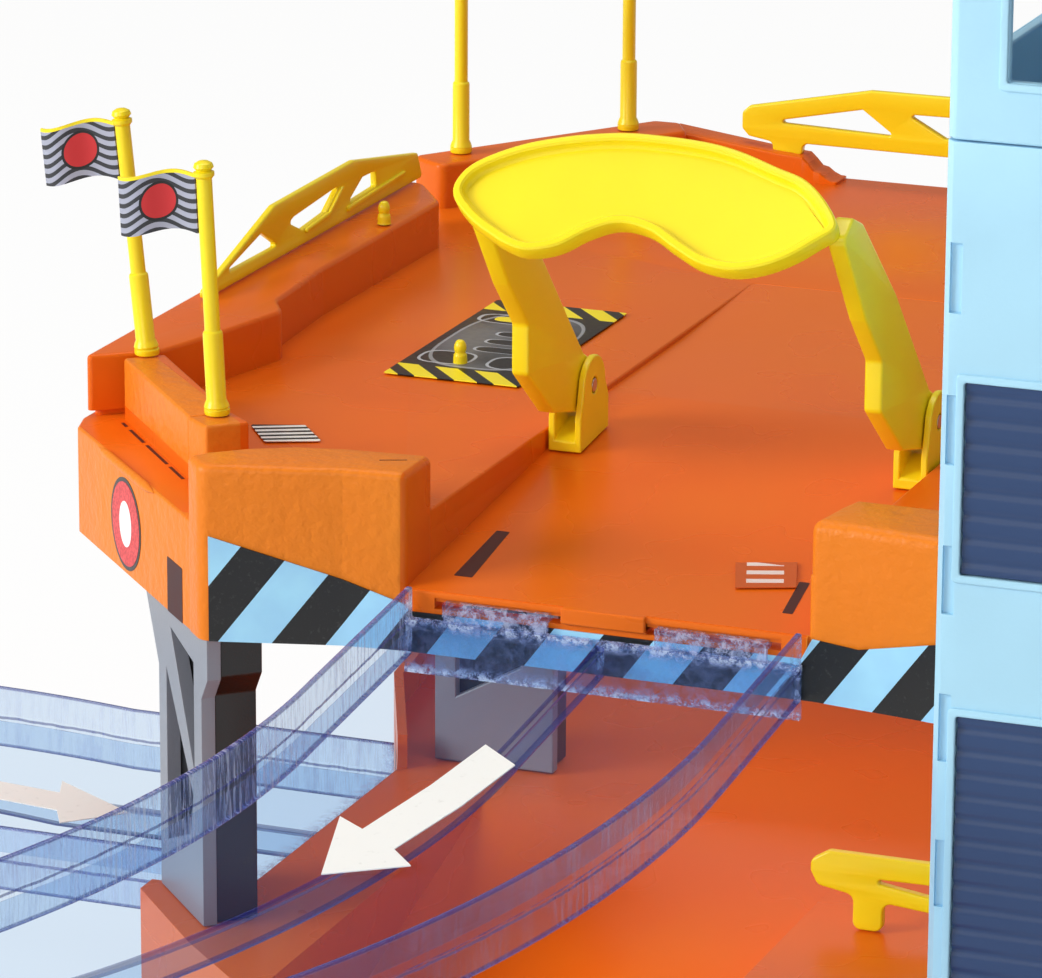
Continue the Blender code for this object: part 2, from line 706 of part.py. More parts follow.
def rack_outline():
    """Side view of the rack: teeth face the pinion, with a tooth space at the pinion's height."""
    pitch = math.pi * MODULE
    line = PINION_Y + PITCH_R
    slant = math.tan(math.radians(20.0))
    tip = line - 0.9 * MODULE
    root = line + 1.25 * MODULE
    half = pitch / 4.0 - BACKLASH / 2.0
    points = []
    for k in range(RACK_TEETH):
        z = PINION_Z + pitch * (k + 2.5 - RACK_TEETH)
        points += [(root, z - half - 1.25 * MODULE * slant), (tip, z - half + 0.9 * MODULE * slant),
                   (tip, z + half - 0.9 * MODULE * slant), (root, z + half + 1.25 * MODULE * slant)]
    top = points[-1][1] + 0.001
    bottom = points[0][1] - 0.001
    back = line + 0.006
    return [(root, bottom)] + points + [(root, top), (back, top), (back, bottom)]


def build_lift(root):
    x0, x1 = cabin_span()
    y0 = TOWER_Y + TOWER_WALL + SLIDE
    y1 = TOWER_BACK - TOWER_WALL - SLIDE
    floor = LOWER_FLOOR
    rail = empty("lift_rail", (x0, y0, floor), root)
    side = 0.0018
    teeth = rack_outline()
    mast_top = max(point[1] for point in teeth)
    base = box((x0, y0, floor - WALL), (x1, y1, floor))
    parts = [box((x0, y0, floor - 0.001), (x0 + side, y1, floor + CABIN_SIDE)),
             box((x1 - side, y0, floor - 0.001), (x1, y1, floor + CABIN_SIDE)),
             box((x0, y0, floor - 0.001), (x1, y0 + side, floor + CABIN_SIDE)),
             box((x1 - side, PINION_Y + PITCH_R - 0.004, floor - 0.001),
                 (x1, PINION_Y + PITCH_R + 0.012, mast_top))]
    put("lift_cabin", join(base, *parts), "light_grey", rail)
    low, high = rack_x()
    put("lift_rack", prism(teeth, low, high, "YZ"), "black", rail)

    crank = empty("crank_axis", (TOWER_RIGHT, PINION_Y, PINION_Z), root)
    wheel = prism(pinion_outline(), low + GAP, high - GAP, "YZ")
    face = TOWER_RIGHT + 0.0012
    seat = face + 0.0045
    shaft = rod(SHAFT_R, (low + 0.001, PINION_Y, PINION_Z), seat - GAP - low - 0.001, "X", 20)
    put("crank_shaft", join(wheel, shaft), "black", crank, 30.0)
    outline = [(0.0, 0.0), (KNOB_R, 0.0), (KNOB_R, KNOB_THICK - 0.001),
               (KNOB_R - 0.001, KNOB_THICK), (0.0, KNOB_THICK)]
    knob = turned(outline, (face, PINION_Y, PINION_Z), "X", 28)
    bore = rod(SHAFT_R + GAP, (face - 0.001, PINION_Y, PINION_Z), seat - face + 0.001, "X", 20)
    put("crank_knob", cut(knob, bore), "yellow", crank, 30.0)
    grip_place = (face + KNOB_THICK + GAP, PINION_Y, PINION_Z + KNOB_R - 0.0045)
    grip = [(0.0, 0.0), (0.0030, 0.0), (0.0026, 0.006), (0.0032, 0.010), (0.0028, 0.0125),
            (0.0012, 0.0135), (0.0, 0.0135)]
    put("crank_grip", turned(grip, grip_place, "X", 14), "yellow", crank, 50.0)


# The exit gate

def gate_axis_place():
    return Vector((0.0, PIVOT_Y, PIVOT_Z))


def bracket(name, side, root):
    """A channel that stands on the lane; its two ears carry the gate's pin."""
    middle = side * BRACKET_X
    half = BRACKET_WIDTH / 2.0
    back = BRACKET_FRONT + BRACKET_DEPTH
    foot = GAP
    outline = [(BRACKET_FRONT, lane_height(BRACKET_FRONT) + foot), (back, lane_height(back) + foot),
               (back, PIVOT_Z - 0.004)]
    outline += circle(PIVOT_Y, PIVOT_Z, EAR_R, 10, 0.0, 180.0)
    outline += [(BRACKET_FRONT, PIVOT_Z - 0.006)]
    body = prism(outline, middle - half, middle + half, "YZ")
    floor = PIVOT_Z - EAR_R - 0.0008
    side = [(BRACKET_FRONT - 0.001, floor - 0.0038), (PIVOT_Y, floor), (back + 0.001, floor),
            (back + 0.001, PIVOT_Z + 0.02), (BRACKET_FRONT - 0.001, PIVOT_Z + 0.02)]
    slot = prism(side, middle - half + EAR, middle + half - EAR, "YZ")
    bore = rod(PIN_R + RUN, (middle - 0.02, PIVOT_Y, PIVOT_Z), 0.04, "X", 16)
    put(name, cut(body, slot, bore), "yellow", root, 30.0)


def arm_outline():
    """Side view of a gate arm, from the eye at the pivot up to the tray."""
    eye = circle(PIVOT_Y, PIVOT_Z, 0.0060, 10, 255.0, 190.0)
    back = mm((-2, 7.5), (-26.5, 33.8), (-54.5, 57.6))
    front = mm((-66.5, 56.6), (-46, 32.6), (-35, 21.5), (-35, 10.7), (-19.6, -1.4), (-12, -3.2))
    points = [(PIVOT_Y + y, PIVOT_Z + z) for y, z in back + front]
    return eye + points


def tray_outline():
    """Kidney shape of the tray in its own plane: X and the way up the tilted plane."""
    return mm((-42.1, -3.8), (-41.2, -4.9), (-37.5, -8.6), (-32.2, -11.9), (-27.3, -14.2),
              (-22.8, -14.9), (-16.8, -13.1), (-11.5, -9.1), (-5.7, -6.6), (0.9, -7.6),
              (7.2, -11.1), (13.2, -14), (19.7, -14.9), (25.7, -13.6), (31.2, -10.6),
              (35.9, -6.5), (39.2, -2.7), (38.8, -1.1), (36, 2.6), (33.4, 5.4), (23.9, 9.8),
              (14.7, 12.9), (5.8, 14.4), (-7.2, 14.8), (-15.6, 13.9), (-23.7, 12.1),
              (-31.7, 9.3), (-39.1, 4.9), (-40.8, 3.1), (-42.3, -1))


def tray_matrix():
    """Turns the tray's own plane so that it faces the front and upwards at 45 degrees."""
    lean = math.sqrt(0.5)
    return Matrix(((1.0, 0.0, 0.0, 0.0),
                   (0.0, lean, -lean, PIVOT_Y - TRAY_REACH),
                   (0.0, lean, lean, PIVOT_Z + TRAY_LIFT),
                   (0.0, 0.0, 0.0, 1.0)))


def build_gate(root):
    for name, side in (("gate_bracket_left", -1), ("gate_bracket_right", 1)):
        bracket(name, side, root)
    axis = empty("gate_axis", gate_axis_place(), root)
    outline = tray_outline()
    plate = prism(outline, -TRAY_THICK, 0.0)
    rim = cut(prism(outline, -0.001, TRAY_RIM), prism(inset(outline, 0.0018), -0.002, 0.01))
    for solid in (plate, rim):
        solid.transform(tray_matrix())
    half = BRACKET_WIDTH / 2.0 - EAR - GAP
    arms = []
    for side in (-1, 1):
        arm = prism(arm_outline(), side * BRACKET_X - half, side * BRACKET_X + half, "YZ")
        arms.append(arm)
    body = join(plate, rim, *arms)
    bores = [rod(PIN_R + GAP, (side * BRACKET_X - 0.01, PIVOT_Y, PIVOT_Z), 0.02, "X", 16)
             for side in (-1, 1)]
    put("exit_gate", cut(body, *bores), "yellow", axis, 40.0)
    length = BRACKET_WIDTH
    for name, side in (("gate_pin_left", -1), ("gate_pin_right", 1)):
        pin = rod(PIN_R, (side * BRACKET_X - length / 2.0, PIVOT_Y, PIVOT_Z), length, "X", 16)
        put(name, pin, "steel", axis, 30.0)


# The exit ramp

def ramp_numbers():
    """Lengths of the ramp's runs and the centres of its two bends."""
    a1 = math.radians(RAMP_A1)
    first_x = -RAMP_R1 * (1.0 - math.cos(a1))
    first_y = -RAMP_LEAD - RAMP_R1 * math.sin(a1)
    r2 = (RAMP_ARRIVAL - first_y) / (1.0 + math.sin(a1))
    centre = (first_x - r2 * math.cos(a1), first_y + r2 * math.sin(a1))
    turn = math.radians(270.0) - a1
    tail = ARRIVAL_EDGE - GAP - centre[0]
    runs = (RAMP_LEAD, RAMP_R1 * a1, r2 * turn, tail)
    return runs, r2, centre


def ramp_point(run):
    """Plan place and heading of the ramp's middle after a run along it from the lip."""
    (lead, bend1, bend2, tail), r2, centre = ramp_numbers()
    if run <= lead:
        return Vector((0.0, -run)), math.radians(270.0)
    if run <= lead + bend1:
        turned_by = (run - lead) / RAMP_R1
        place = Vector((-RAMP_R1 + RAMP_R1 * math.cos(turned_by),
                        -lead - RAMP_R1 * math.sin(turned_by)))
        return place, math.radians(270.0) - turned_by
    if run <= lead + bend1 + bend2:
        turned_by = (run - lead - bend1) / r2 + math.radians(RAMP_A1)
        place = Vector((centre[0] + r2 * math.cos(turned_by),
                        centre[1] - r2 * math.sin(turned_by)))
        return place, math.radians(270.0) - turned_by
    place = Vector((centre[0] + run - lead - bend1 - bend2, RAMP_ARRIVAL))
    return place, 0.0


def ramp_length():
    return sum(ramp_numbers()[0])


def bed_height(run):
    """Height of the bed's top; the fall is even down to the level straight at the end."""
    start = LIP - RAMP_DROP
    end = LOWER_FLOOR + RAMP_END_RISE
    fall = sum(ramp_numbers()[0][:3])
    return start + (end - start) * min(run / fall, 1.0)


def on_ramp(run, across, above):
    """World place of a point given along the ramp, across it to its left and above its bed."""
    place, heading = ramp_point(run)
    left = Vector((-math.sin(heading), math.cos(heading)))
    spot = place + left * across
    return (spot.x, spot.y, bed_height(run) + above)


def ramp_runs(start, end, step=0.0185):
    """Runs at which the ramp has a cross section; the straights need only their ends."""
    lead, bend1, bend2, tail = ramp_numbers()[0]
    knots = [start, end]
    for knot in (lead, lead + bend1, lead + bend1 + bend2):
        if start < knot < end:
            knots.append(knot)
    knots.sort()
    runs = [knots[0]]
    for low, high in zip(knots, knots[1:]):
        middle = (low + high) / 2.0
        straight = middle < lead or middle > lead + bend1 + bend2
        count = 1 if straight else max(1, math.ceil((high - low) / step))
        runs += [low + (high - low) * k / count for k in range(1, count + 1)]
    return runs


def ramp_sweep(section, start, end):
    return loft([[on_ramp(run, u, w) for u, w in section] for run in ramp_runs(start, end)])


def channel_section():
    out, inner = RAMP_HALF, RAMP_HALF - KERB
    rib = 0.0007
    right = [(rib, -BED), (inner, -BED), (inner, -SKIRT), (out, -SKIRT), (out, KERB_UP),
             (inner, KERB_UP), (inner, 0.0)]
    left = [(-u, w) for u, w in reversed(right)]
    return [(rib, -SKIRT)] + right + left + [(-rib, -SKIRT)]


def build_ramp(root):
    total = ramp_length()
    upper = ramp_sweep(channel_section(), 0.0016, RAMP_SPLIT)
    face = -LABEL - 2 * GAP - 0.0001
    plate = [(-RAMP_HALF, face), (RAMP_HALF, face), (RAMP_HALF, face - 0.0015),
             (-RAMP_HALF, face - 0.0015)]
    flange = prism(plate, DECK_BOTTOM + GAP, bed_height(0.0) - 0.0006)
    top, tongue = LIP - 0.0017, LIP - 0.0033
    front, back = face - 0.0013, face - 0.0002
    hook = [(front, bed_height(0.0) - 0.003), (back, bed_height(0.0) - 0.003), (back, tongue),
            (0.0015, tongue), (0.0015, top), (front, top)]
    hooks = [prism(hook, low, high, "YZ") for low, high in mm((-34, -11.5), (11.5, 35))]
    put("ramp_upper", join(upper, flange, *hooks), "ramp_blue", root)
    lower = ramp_sweep(channel_section(), RAMP_SPLIT + GAP, total)
    put("ramp_lower", lower, "ramp_blue", root)
    for name, run in (("ramp_post_left", RAMP_SPLIT), ("ramp_post_right", RAMP_SPLIT * 0.56)):
        ramp_post(name, run, root)


def ramp_post(name, run, root):
    """A column with a cross plate that carries the skirts of the ramp."""
    half = 0.007
    top = -SKIRT - GAP
    plate = [(-RAMP_HALF, top - 0.003), (RAMP_HALF, top - 0.003), (RAMP_HALF, top),
             (-RAMP_HALF, top)]
    saddle = loft([[on_ramp(r, u, w) for u, w in plate] for r in (run - half, run + half)])
    x, y, z = on_ramp(run, 0.0, top - 0.0015)
    column = turned([(0.0, 0.0), (0.014, 0.0), (0.014, 0.002), (0.0055, 0.005), (0.0045, z),
                     (0.0, z)], (x, y, 0.0), "Z", 20)
    put(name, join(saddle, column), "light_grey", root, 30.0)


# Poles, flags, rails, pegs and labels

def build_poles(root):
    """Four poles with ball tops; the two at the front lean a little to the left."""
    spots = mm((-96, 26.2), (-129.6, 64.5), (-138.1, 269), (-108.7, 308.6))
    leans = (2.8, 5.8, 0.0, 0.0)
    for index, ((x, y), lean) in enumerate(zip(spots, leans), 1):
        base = WALL_TOP + GAP
        foot_r = 0.0027
        ball = POLE_R + 0.0006
        sink = foot_r * math.sin(math.radians(lean))
        profile = [(0.0, 0.0), (0.0021, 0.0), (0.0021, 0.0170), (POLE_R, 0.0176),
                   (POLE_R, POLE_TALL - 0.0034), (ball, POLE_TALL - 0.0026),
                   (ball, POLE_TALL - 0.0012), (0.0011, POLE_TALL), (0.0, POLE_TALL)]
        pole = turned(profile, (0.0, 0.0, 0.0), "Z", 10)
        tilt = Matrix.Translation((x, y, base + sink)) @ Matrix.Rotation(
            math.radians(-lean), 4, "Y")
        pole.transform(tilt)
        foot = rod(foot_r, (x, y, base), 0.0013, "Z", 12)
        put("flag_pole_%d" % index, join(pole, foot), "yellow", root, 40.0)
        low = POLE_TALL - 0.0030 - FLAG_HEIGHT
        sections = []
        for k in range(9):
            t = k / 8.0
            along = -POLE_R - GAP - FLAG_LENGTH * t
            wave = 0.0011 * math.sin(t * 2.0 * math.pi) * (0.3 + 0.7 * t)
            drop = low - 0.0006 * math.sin(t * math.pi)
            sections.append([(along, wave - 0.0004, drop), (along, wave + 0.0004, drop),
                             (along, wave + 0.0004, drop + FLAG_HEIGHT),
                             (along, wave - 0.0004, drop + FLAG_HEIGHT)])
        flag = loft(sections)
        flag.transform(tilt)
        put("flag_%d" % index, flag, "flag_grey", root)


def build_railings(root):
    low = WALL_TOP + GAP
    x = -0.1385
    outline = [(0.1120, low), (0.2406, low)] + [(y, LIP + z) for y, z in mm(
        (237.5, 30.9), (198.1, 37.6), (150.8, 37.2), (112, 26.2))]
    holes = [mm((133, 26.6), (149, 26.6), (149, 34.6)), mm((153, 26.6), (170, 26.6), (178, 35.2),
             (153, 34.9)), mm((174.5, 26.6), (196, 26.6), (196, 35.2), (182, 35.2)),
             mm((200, 26.6), (233, 26.6), (231.5, 30.0), (200, 35.0))]
    tools = [prism([(y, LIP + z) for y, z in hole], x - 0.01, x + 0.01, "YZ") for hole in holes]
    put("railing_left", cut(prism(outline, x, x + RAIL, "YZ"), *tools), "yellow", root)

    y = 0.3195
    wall_left = WALL_TOP - 0.0044 + GAP
    outline = mm((-82.4, 22.8), (-74, 22.2))
    outline = [(a, LIP + b) for a, b in outline]
    outline += [(-0.074, wall_left + 0.0007), (-0.066, wall_left + 0.0003)]
    outline += [(a, LIP + b) for a, b in mm((-66, 22.2), (10, 22.2))]
    outline += [(0.010, DECK_FLOOR + GAP), (0.018, DECK_FLOOR + GAP)]
    outline += [(a, LIP + b) for a, b in mm((18, 22.2), (26, 24), (26, 31), (18, 36.8),
                                            (-48.7, 36.8), (-82.4, 29.8))]
    holes = [mm((-75, 25), (-54, 25), (-51, 33.6), (-75, 28.8)),
             mm((-50, 25), (-26, 25), (-19, 33.8), (-47, 33.8)),
             mm((-22, 25), (8, 25), (14, 33.8), (-15, 33.8))]
    tools = [prism([(a, LIP + b) for a, b in hole], y - 0.01, y + 0.01, "XZ") for hole in holes]
    put("railing_back", cut(prism(outline, y, y + RAIL, "XZ"), *tools), "yellow", root)

    floor = LOWER_FLOOR + GAP
    outline = [(0.0295, floor + 0.0090), (0.0390, floor + 0.0065), (0.0390, floor),
               (0.0455, floor), (0.0455, floor + 0.0065), (0.0620, floor + 0.0065),
               (0.0620, floor), (0.0670, floor), (0.0670, floor + 0.0165),
               (0.0370, floor + 0.0165), (0.0295, floor + 0.0145)]
    hole = [(0.0400, floor + 0.0092), (0.0620, floor + 0.0092), (0.0620, floor + 0.0140),
            (0.0385, floor + 0.0140)]
    y = 0.0450
    rail = cut(prism(outline, y, y + RAIL, "XZ"), prism(hole, y - 0.01, y + 0.01, "XZ"))
    put("railing_lower", rail, "yellow", root)


def build_pegs(root):
    profile = [(0.0, 0.0), (0.0016, 0.0), (0.0016, 0.0042), (0.0009, 0.0055), (0.0, 0.0055)]
    x, y = lift_peg()
    peg = turned(profile, (x, y, DECK_FLOOR + GAP), "Z", 12)
    put("stop_peg_pad", peg, "yellow", root, 50.0)
    peg = turned(profile, (-0.1272, 0.1928, WALL_TOP + GAP), "Z", 12)
    put("stop_peg_wall", peg, "yellow", root, 50.0)


def lift_peg():
    return -0.0793, 0.1210


def fascia_band():
    """Striped label that follows the facets of the front edge from side to side."""
    rise = mm((-83.2, 9.4), (-56, 0.9), (-43, -3.3), (-41.8, -4.6), (41.8, -4.6), (46, -2.6))
    spots = [(rise[0][0], rise[0][1])] + rise[1:] + [(TOWER_X - 3 * GAP, -0.0012)]
    facets = upper_outline()[:5]
    sections = []
    for x, top in spots:
        for (x0, y0), (x1, y1) in zip(facets, facets[1:]):
            if x0 <= x <= x1 + 1e-6:
                y = y0 + (y1 - y0) * (x - x0) / (x1 - x0)
                break
        near = y - GAP * 1.2
        far = near - LABEL
        low = DECK_BOTTOM + GAP
        sections.append([(x, near, low), (x, far, low), (x, far, LIP + top), (x, near, LIP + top)])
    return loft(sections)


def build_labels(root):
    put("label_fascia", fascia_band(), "label", root)
    low = DECK_FLOOR + GAP
    pad = prism(mm((-92, 107), (-60, 107), (-60, 176), (-92, 176)), low, low + LABEL)
    x, y = lift_peg()
    pad = cut(pad, prism(circle(x, y, 0.0016 + GAP, 12), low - 0.01, low + 0.01))
    put("label_pad", pad, "label_dark", root)
    stripes = prism(mm((-94, 46), (-83, 51), (-91, 61), (-102, 57)), low, low + LABEL)
    put("label_stripes", stripes, "label_white", root)
    corners = mm((17, 30.7), (21.3, 18.3), (33.0, 22.1), (29.0, 34.5))
    raised = []
    for lift in (GAP, GAP + LABEL):
        raised.append([(a, b, lane_height(b) + lift) for a, b in corners])
    put("label_exit", loft(raised), "label_dark", root)
    shape = mm((57.7, -2.7), (79, -4.1), (101.9, -4.7), (99.1, -11.9), (121.8, 1.7),
               (110.4, 13.3), (106.3, 6.0), (85, 6.1), (64.6, 6.6))
    put("label_arrow_upper", arrow(shape), "label_white", root)
    back = ramp_length() - 0.042 - shape[4][0]
    shape = [(run + back, -across - 0.0066) for run, across in shape]
    put("label_arrow_lower", arrow(shape), "label_white", root)


def arrow(shape):
    """A thin label on the ramp's bed; shape gives run and distance to the left."""
    return loft([[on_ramp(run, across, lift) for run, across in shape]
                 for lift in (GAP, GAP + LABEL)])


def centre_origin(root):
    """Move everything so that the origin lies under the middle of the overall box."""
    bpy.context.view_layer.update()
    low = Vector((1e9, 1e9, 1e9))
    high = Vector((-1e9, -1e9, -1e9))
    for item in bpy.data.objects:
        if item.type != "MESH":
            continue
        for vertex in item.data.vertices:
            point = item.matrix_world @ vertex.co
            low = Vector(map(min, low, point))
            high = Vector(map(max, high, point))
    root.location = (-(low.x + high.x) / 2.0, -(low.y + high.y) / 2.0, -low.z)
    bpy.context.view_layer.update()
    print("shift", tuple(round(value, 6) for value in root.location))
    print("size", tuple(round(value, 5) for value in (high - low)))


def main():
    clear_scene()
    root = empty("toy_garage", (0.0, 0.0, 0.0))
    build_lower_deck(root)
    build_pillars(root)
    build_upper_deck(root)
    build_tower(root)
    build_lift(root)
    build_gate(root)
    build_ramp(root)
    build_poles(root)
    build_railings(root)
    build_pegs(root)
    build_labels(root)
    centre_origin(root)


main()
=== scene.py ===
"""Finishes and fine surfaces of a two-deck toy garage.

Shapes are laid out from the middle of the exit lip, as the solids are: X to the right, Y back
from the front edge of the upper deck, Z up from the ground.  Everything is in metres.
"""

import json
import math

import bmesh
import bpy
import numpy as np
from bpy.props import FloatProperty, FloatVectorProperty, IntProperty, PointerProperty
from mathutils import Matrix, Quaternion, Vector
from mathutils.geometry import tessellate_polygon


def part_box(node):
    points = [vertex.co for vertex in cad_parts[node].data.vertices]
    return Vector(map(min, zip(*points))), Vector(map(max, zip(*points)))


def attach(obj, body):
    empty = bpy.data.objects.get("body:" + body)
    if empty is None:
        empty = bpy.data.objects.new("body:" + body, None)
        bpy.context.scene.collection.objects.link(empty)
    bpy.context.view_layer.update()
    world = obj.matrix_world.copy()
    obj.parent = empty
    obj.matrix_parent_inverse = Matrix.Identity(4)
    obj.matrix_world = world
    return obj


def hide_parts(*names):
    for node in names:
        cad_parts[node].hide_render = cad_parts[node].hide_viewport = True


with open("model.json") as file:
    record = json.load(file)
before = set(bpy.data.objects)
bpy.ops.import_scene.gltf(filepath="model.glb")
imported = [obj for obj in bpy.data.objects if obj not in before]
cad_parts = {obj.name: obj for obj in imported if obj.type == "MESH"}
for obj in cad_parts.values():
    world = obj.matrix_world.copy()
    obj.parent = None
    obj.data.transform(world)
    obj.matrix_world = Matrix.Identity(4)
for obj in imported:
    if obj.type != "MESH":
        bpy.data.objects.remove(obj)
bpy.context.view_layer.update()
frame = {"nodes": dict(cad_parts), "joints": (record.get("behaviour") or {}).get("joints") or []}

bl_info = {
    "name": "Toy Garage",
    "version": (1, 0, 0),
    "blender": (4, 5, 0),
    "location": "View3D > Sidebar > Garage",
    "description": "Builds the smooth mouldings, clear ramp, labels and finishes of a toy garage",
    "category": "Add Mesh",
}

HINGES = {joint["name"]: joint for joint in frame["joints"]}
PIVOT = (0.0874, 0.1293)      # Y and Z of the gate's pins, measured from the exit lip
GATE_AT = HINGES["gate_tilt"]["pos_m"]
ORIGIN = np.array([GATE_AT[0], GATE_AT[1] - PIVOT[0], 0.0])


def node_low(name):
    """Lowest corner of a solid, measured from the exit lip."""
    return np.array(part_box(name)[0]) - ORIGIN


def node_high(name):
    """Highest corner of a solid, measured from the exit lip."""
    return np.array(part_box(name)[1]) - ORIGIN


def node_middle(name):
    """Half way between a solid's lowest and highest corners."""
    return (node_low(name) + node_high(name)) / 2.0


# Heights and lines that the solids fix
CLEAR = 0.0003                # gap between pieces that touch
SKIN = 0.0022                 # wall of the hollow mouldings
DECK_BOTTOM = node_low("upper_deck")[2]
WALL_TOP = node_high("upper_deck")[2]
DECK_FLOOR = node_low("stop_peg_pad")[2] - CLEAR
DECK_BACK = 0.325
LEDGE = DECK_FLOOR - 0.0025   # top of the deck's skirt, outside the floor
LIP = DECK_BOTTOM + 0.0135    # front end of the lane
LANE_GRADE = 0.10
LANE_FLAT = DECK_FLOOR - 0.0012
LANE_HALF = 0.043
LANE_END = 0.215
LANE_RISE = 0.050             # length over which the lane comes up to the floor
TOWER_LEFT = node_low("lift_tower_body")[0]
TOWER_RIGHT = node_high("lift_tower_body")[0]
TOWER_FRONT = node_low("lift_tower_body")[1]
TOWER_BACK = node_high("lift_tower_body")[1]
LOWER_FLOOR = node_low("railing_lower")[2] - CLEAR
DOOR_HEIGHT = 0.056

# The ramp's middle line
RAMP_HALF = 0.0422
RAMP_LEAD = 0.052
RAMP_WIDE = 0.205             # radius of its first bend
RAMP_TURN = math.radians(30.0)
RAMP_ARRIVAL = 0.062          # Y of the straight that meets the lower deck
RAMP_SPLIT = 0.400            # where the upper section ends
RAMP_DROP = 0.0052            # from the lip down to the bed
RAMP_LEVEL = 0.0303           # height of the bed where it ends
ARRIVAL_EDGE = -0.088
BED = 0.0016                  # thickness of the bed
KERB = 0.0014                 # thickness of the kerbs
KERB_UP = 0.0063
SKIRT = 0.0080                # depth of the kerbs and ribs below the bed

# Where the tray's middle lies from the gate's pins, and its lean
TRAY_AT = (-0.0600, 0.0567)
TRAY_LEAN = math.radians(45.0)

# How the camera stands: place, degrees to the left, down and rolled, and its lens
EYE = np.array([0.3965, -1.0741, 0.4683])
LOOK_TURN = 21.1
LOOK_DOWN = 16.3
LOOK_ROLL = 0.3
SENSOR = 36.0
LENS = 6000.0 / 1042.0 * SENSOR     # 6000 pixels, in a frame that is 1042 pixels wide
WHITE = (1.0, 1.0, 1.0, 1.0)


def mm(*points):
    """Points given in millimetres, as an array in metres."""
    return np.array(points, dtype=float) * 0.001


# Back and front end of the deck's left outer face, seen from above
OUTER_FACE = mm((-140, 51), (-84, -9.5))


# Settings

def shade(name, words, value):
    """A colour that a user may change, given as it looks on a screen."""
    return FloatVectorProperty(name=name, description=words, subtype="COLOR_GAMMA", size=3,
                               min=0.0, max=1.0, default=value)


def length(name, words, value):
    """A length in metres that a user may change."""
    return FloatProperty(name=name, description=words, subtype="DISTANCE", unit="LENGTH",
                         min=0.0, default=value, precision=5)


class GarageSizes(bpy.types.PropertyGroup):
    """Sizes of the roundings and of the small details."""
    block_edge: length("Block edge", "Rounding along the tops of the front blocks", 0.0016)
    block_corner: length("Block corner", "Rounding of the upright corners", 0.0020)
    wall_edge: length("Wall edge", "Rounding along the tops of the low walls", 0.0010)
    floor_edge: length("Floor edge", "Rounding along the edges of the floors", 0.0005)
    floor_fillet: length("Floor fillet", "Hollow rounding where a wall meets the floor", 0.0012)
    small_edge: length("Small edge", "Rounding of brackets, posts and rails", 0.0004)
    tower_edge: length("Tower edge", "Rounding of the tower's edges", 0.0006)
    tray_rim: length("Tray rim", "Width of the raised rim of the tray", 0.0019)
    pole_radius: length("Pole radius", "Radius of the flag poles", 0.00165)
    stripe: length("Stripe", "Width of one slanted stripe on the front band", 0.0106)
    corner_steps: IntProperty(name="Corner steps", description="Facets in a rounded corner",
                              min=2, max=12, default=6)


class GarageColours(bpy.types.PropertyGroup):
    """Colours of the plastics and prints, as they look in daylight."""
    # The two oranges are one plastic with painted light: the first, paler and more golden, is
    # painted as if lit on the front and outer left faces; the second, a deeper red, is painted
    # shade on the floors and insides.
    orange: shade("Orange", "Grained outside of the deck mouldings", (0.900, 0.505, 0.125))
    deep_orange: shade("Deep orange", "Floors and insides of the walls", (0.895, 0.390, 0.050))
    yellow: shade("Yellow", "Gate, poles and railings", (0.985, 0.895, 0.105))
    tower: shade("Tower blue", "The lift tower", (0.690, 0.880, 0.990))
    dark_blue: shade("Dark blue", "Tower panels and roof", (0.130, 0.250, 0.440))
    tint: shade("Ramp tint", "Clear plastic of the ramp", (0.560, 0.620, 0.900))
    # Near white of the ramp's scuffed frost, also used for the painted glints and the painted glow
    # of light in its clear edges.
    frost: shade("Frost", "Scuffed edges of the ramp", (0.930, 0.945, 0.995))
    edge_blue: shade("Edge blue", "Deep colour in the ramp's edges", (0.170, 0.190, 0.560))
    band_blue: shade("Band blue", "Pale stripes of the front band", (0.610, 0.820, 0.965))
    ink: shade("Ink", "Black print and black plastic", (0.085, 0.083, 0.092))
    grey: shade("Grey", "Lattice faces of the pillars", (0.540, 0.550, 0.600))
    pale_grey: shade("Pale grey", "Lift cabin and ramp posts", (0.700, 0.710, 0.740))
    flag: shade("Flag", "Cloth-like grey of the flags", (0.640, 0.650, 0.735))
    red: shade("Red", "Round marks on the flags", (0.780, 0.150, 0.170))
    white: shade("White", "Arrows and pale print", (0.965, 0.965, 0.970))


class GarageSettings(bpy.types.PropertyGroup):
    """Everything that a user would change."""
    sizes: PointerProperty(type=GarageSizes)
    colours: PointerProperty(type=GarageColours)


def sizes():
    """The sizes that the sidebar holds."""
    return bpy.context.scene.toy_garage.sizes


def colour(name, factor=1.0, lift=0.0):
    """A setting's colour with the display curve taken out, then darkened or made paler."""
    value = np.array(getattr(bpy.context.scene.toy_garage.colours, name), dtype=float)
    linear = np.where(value <= 0.04045, value / 12.92, ((value + 0.055) / 1.055) ** 2.4)
    return (*np.minimum(linear * factor + lift, 1.0).tolist(), 1.0)


# Surfaces

def rounding(radius, level, steps=4, top=True):
    """Rows of inset and height round an edge: a quarter circle that meets the level."""
    angle = np.linspace(0.0, math.pi / 2.0, steps)
    late, early = radius * (1.0 - np.sin(angle)), radius * (1.0 - np.cos(angle))
    rows = (early, level - late) if top else (late, level + np.abs(early))
    return np.column_stack(rows)


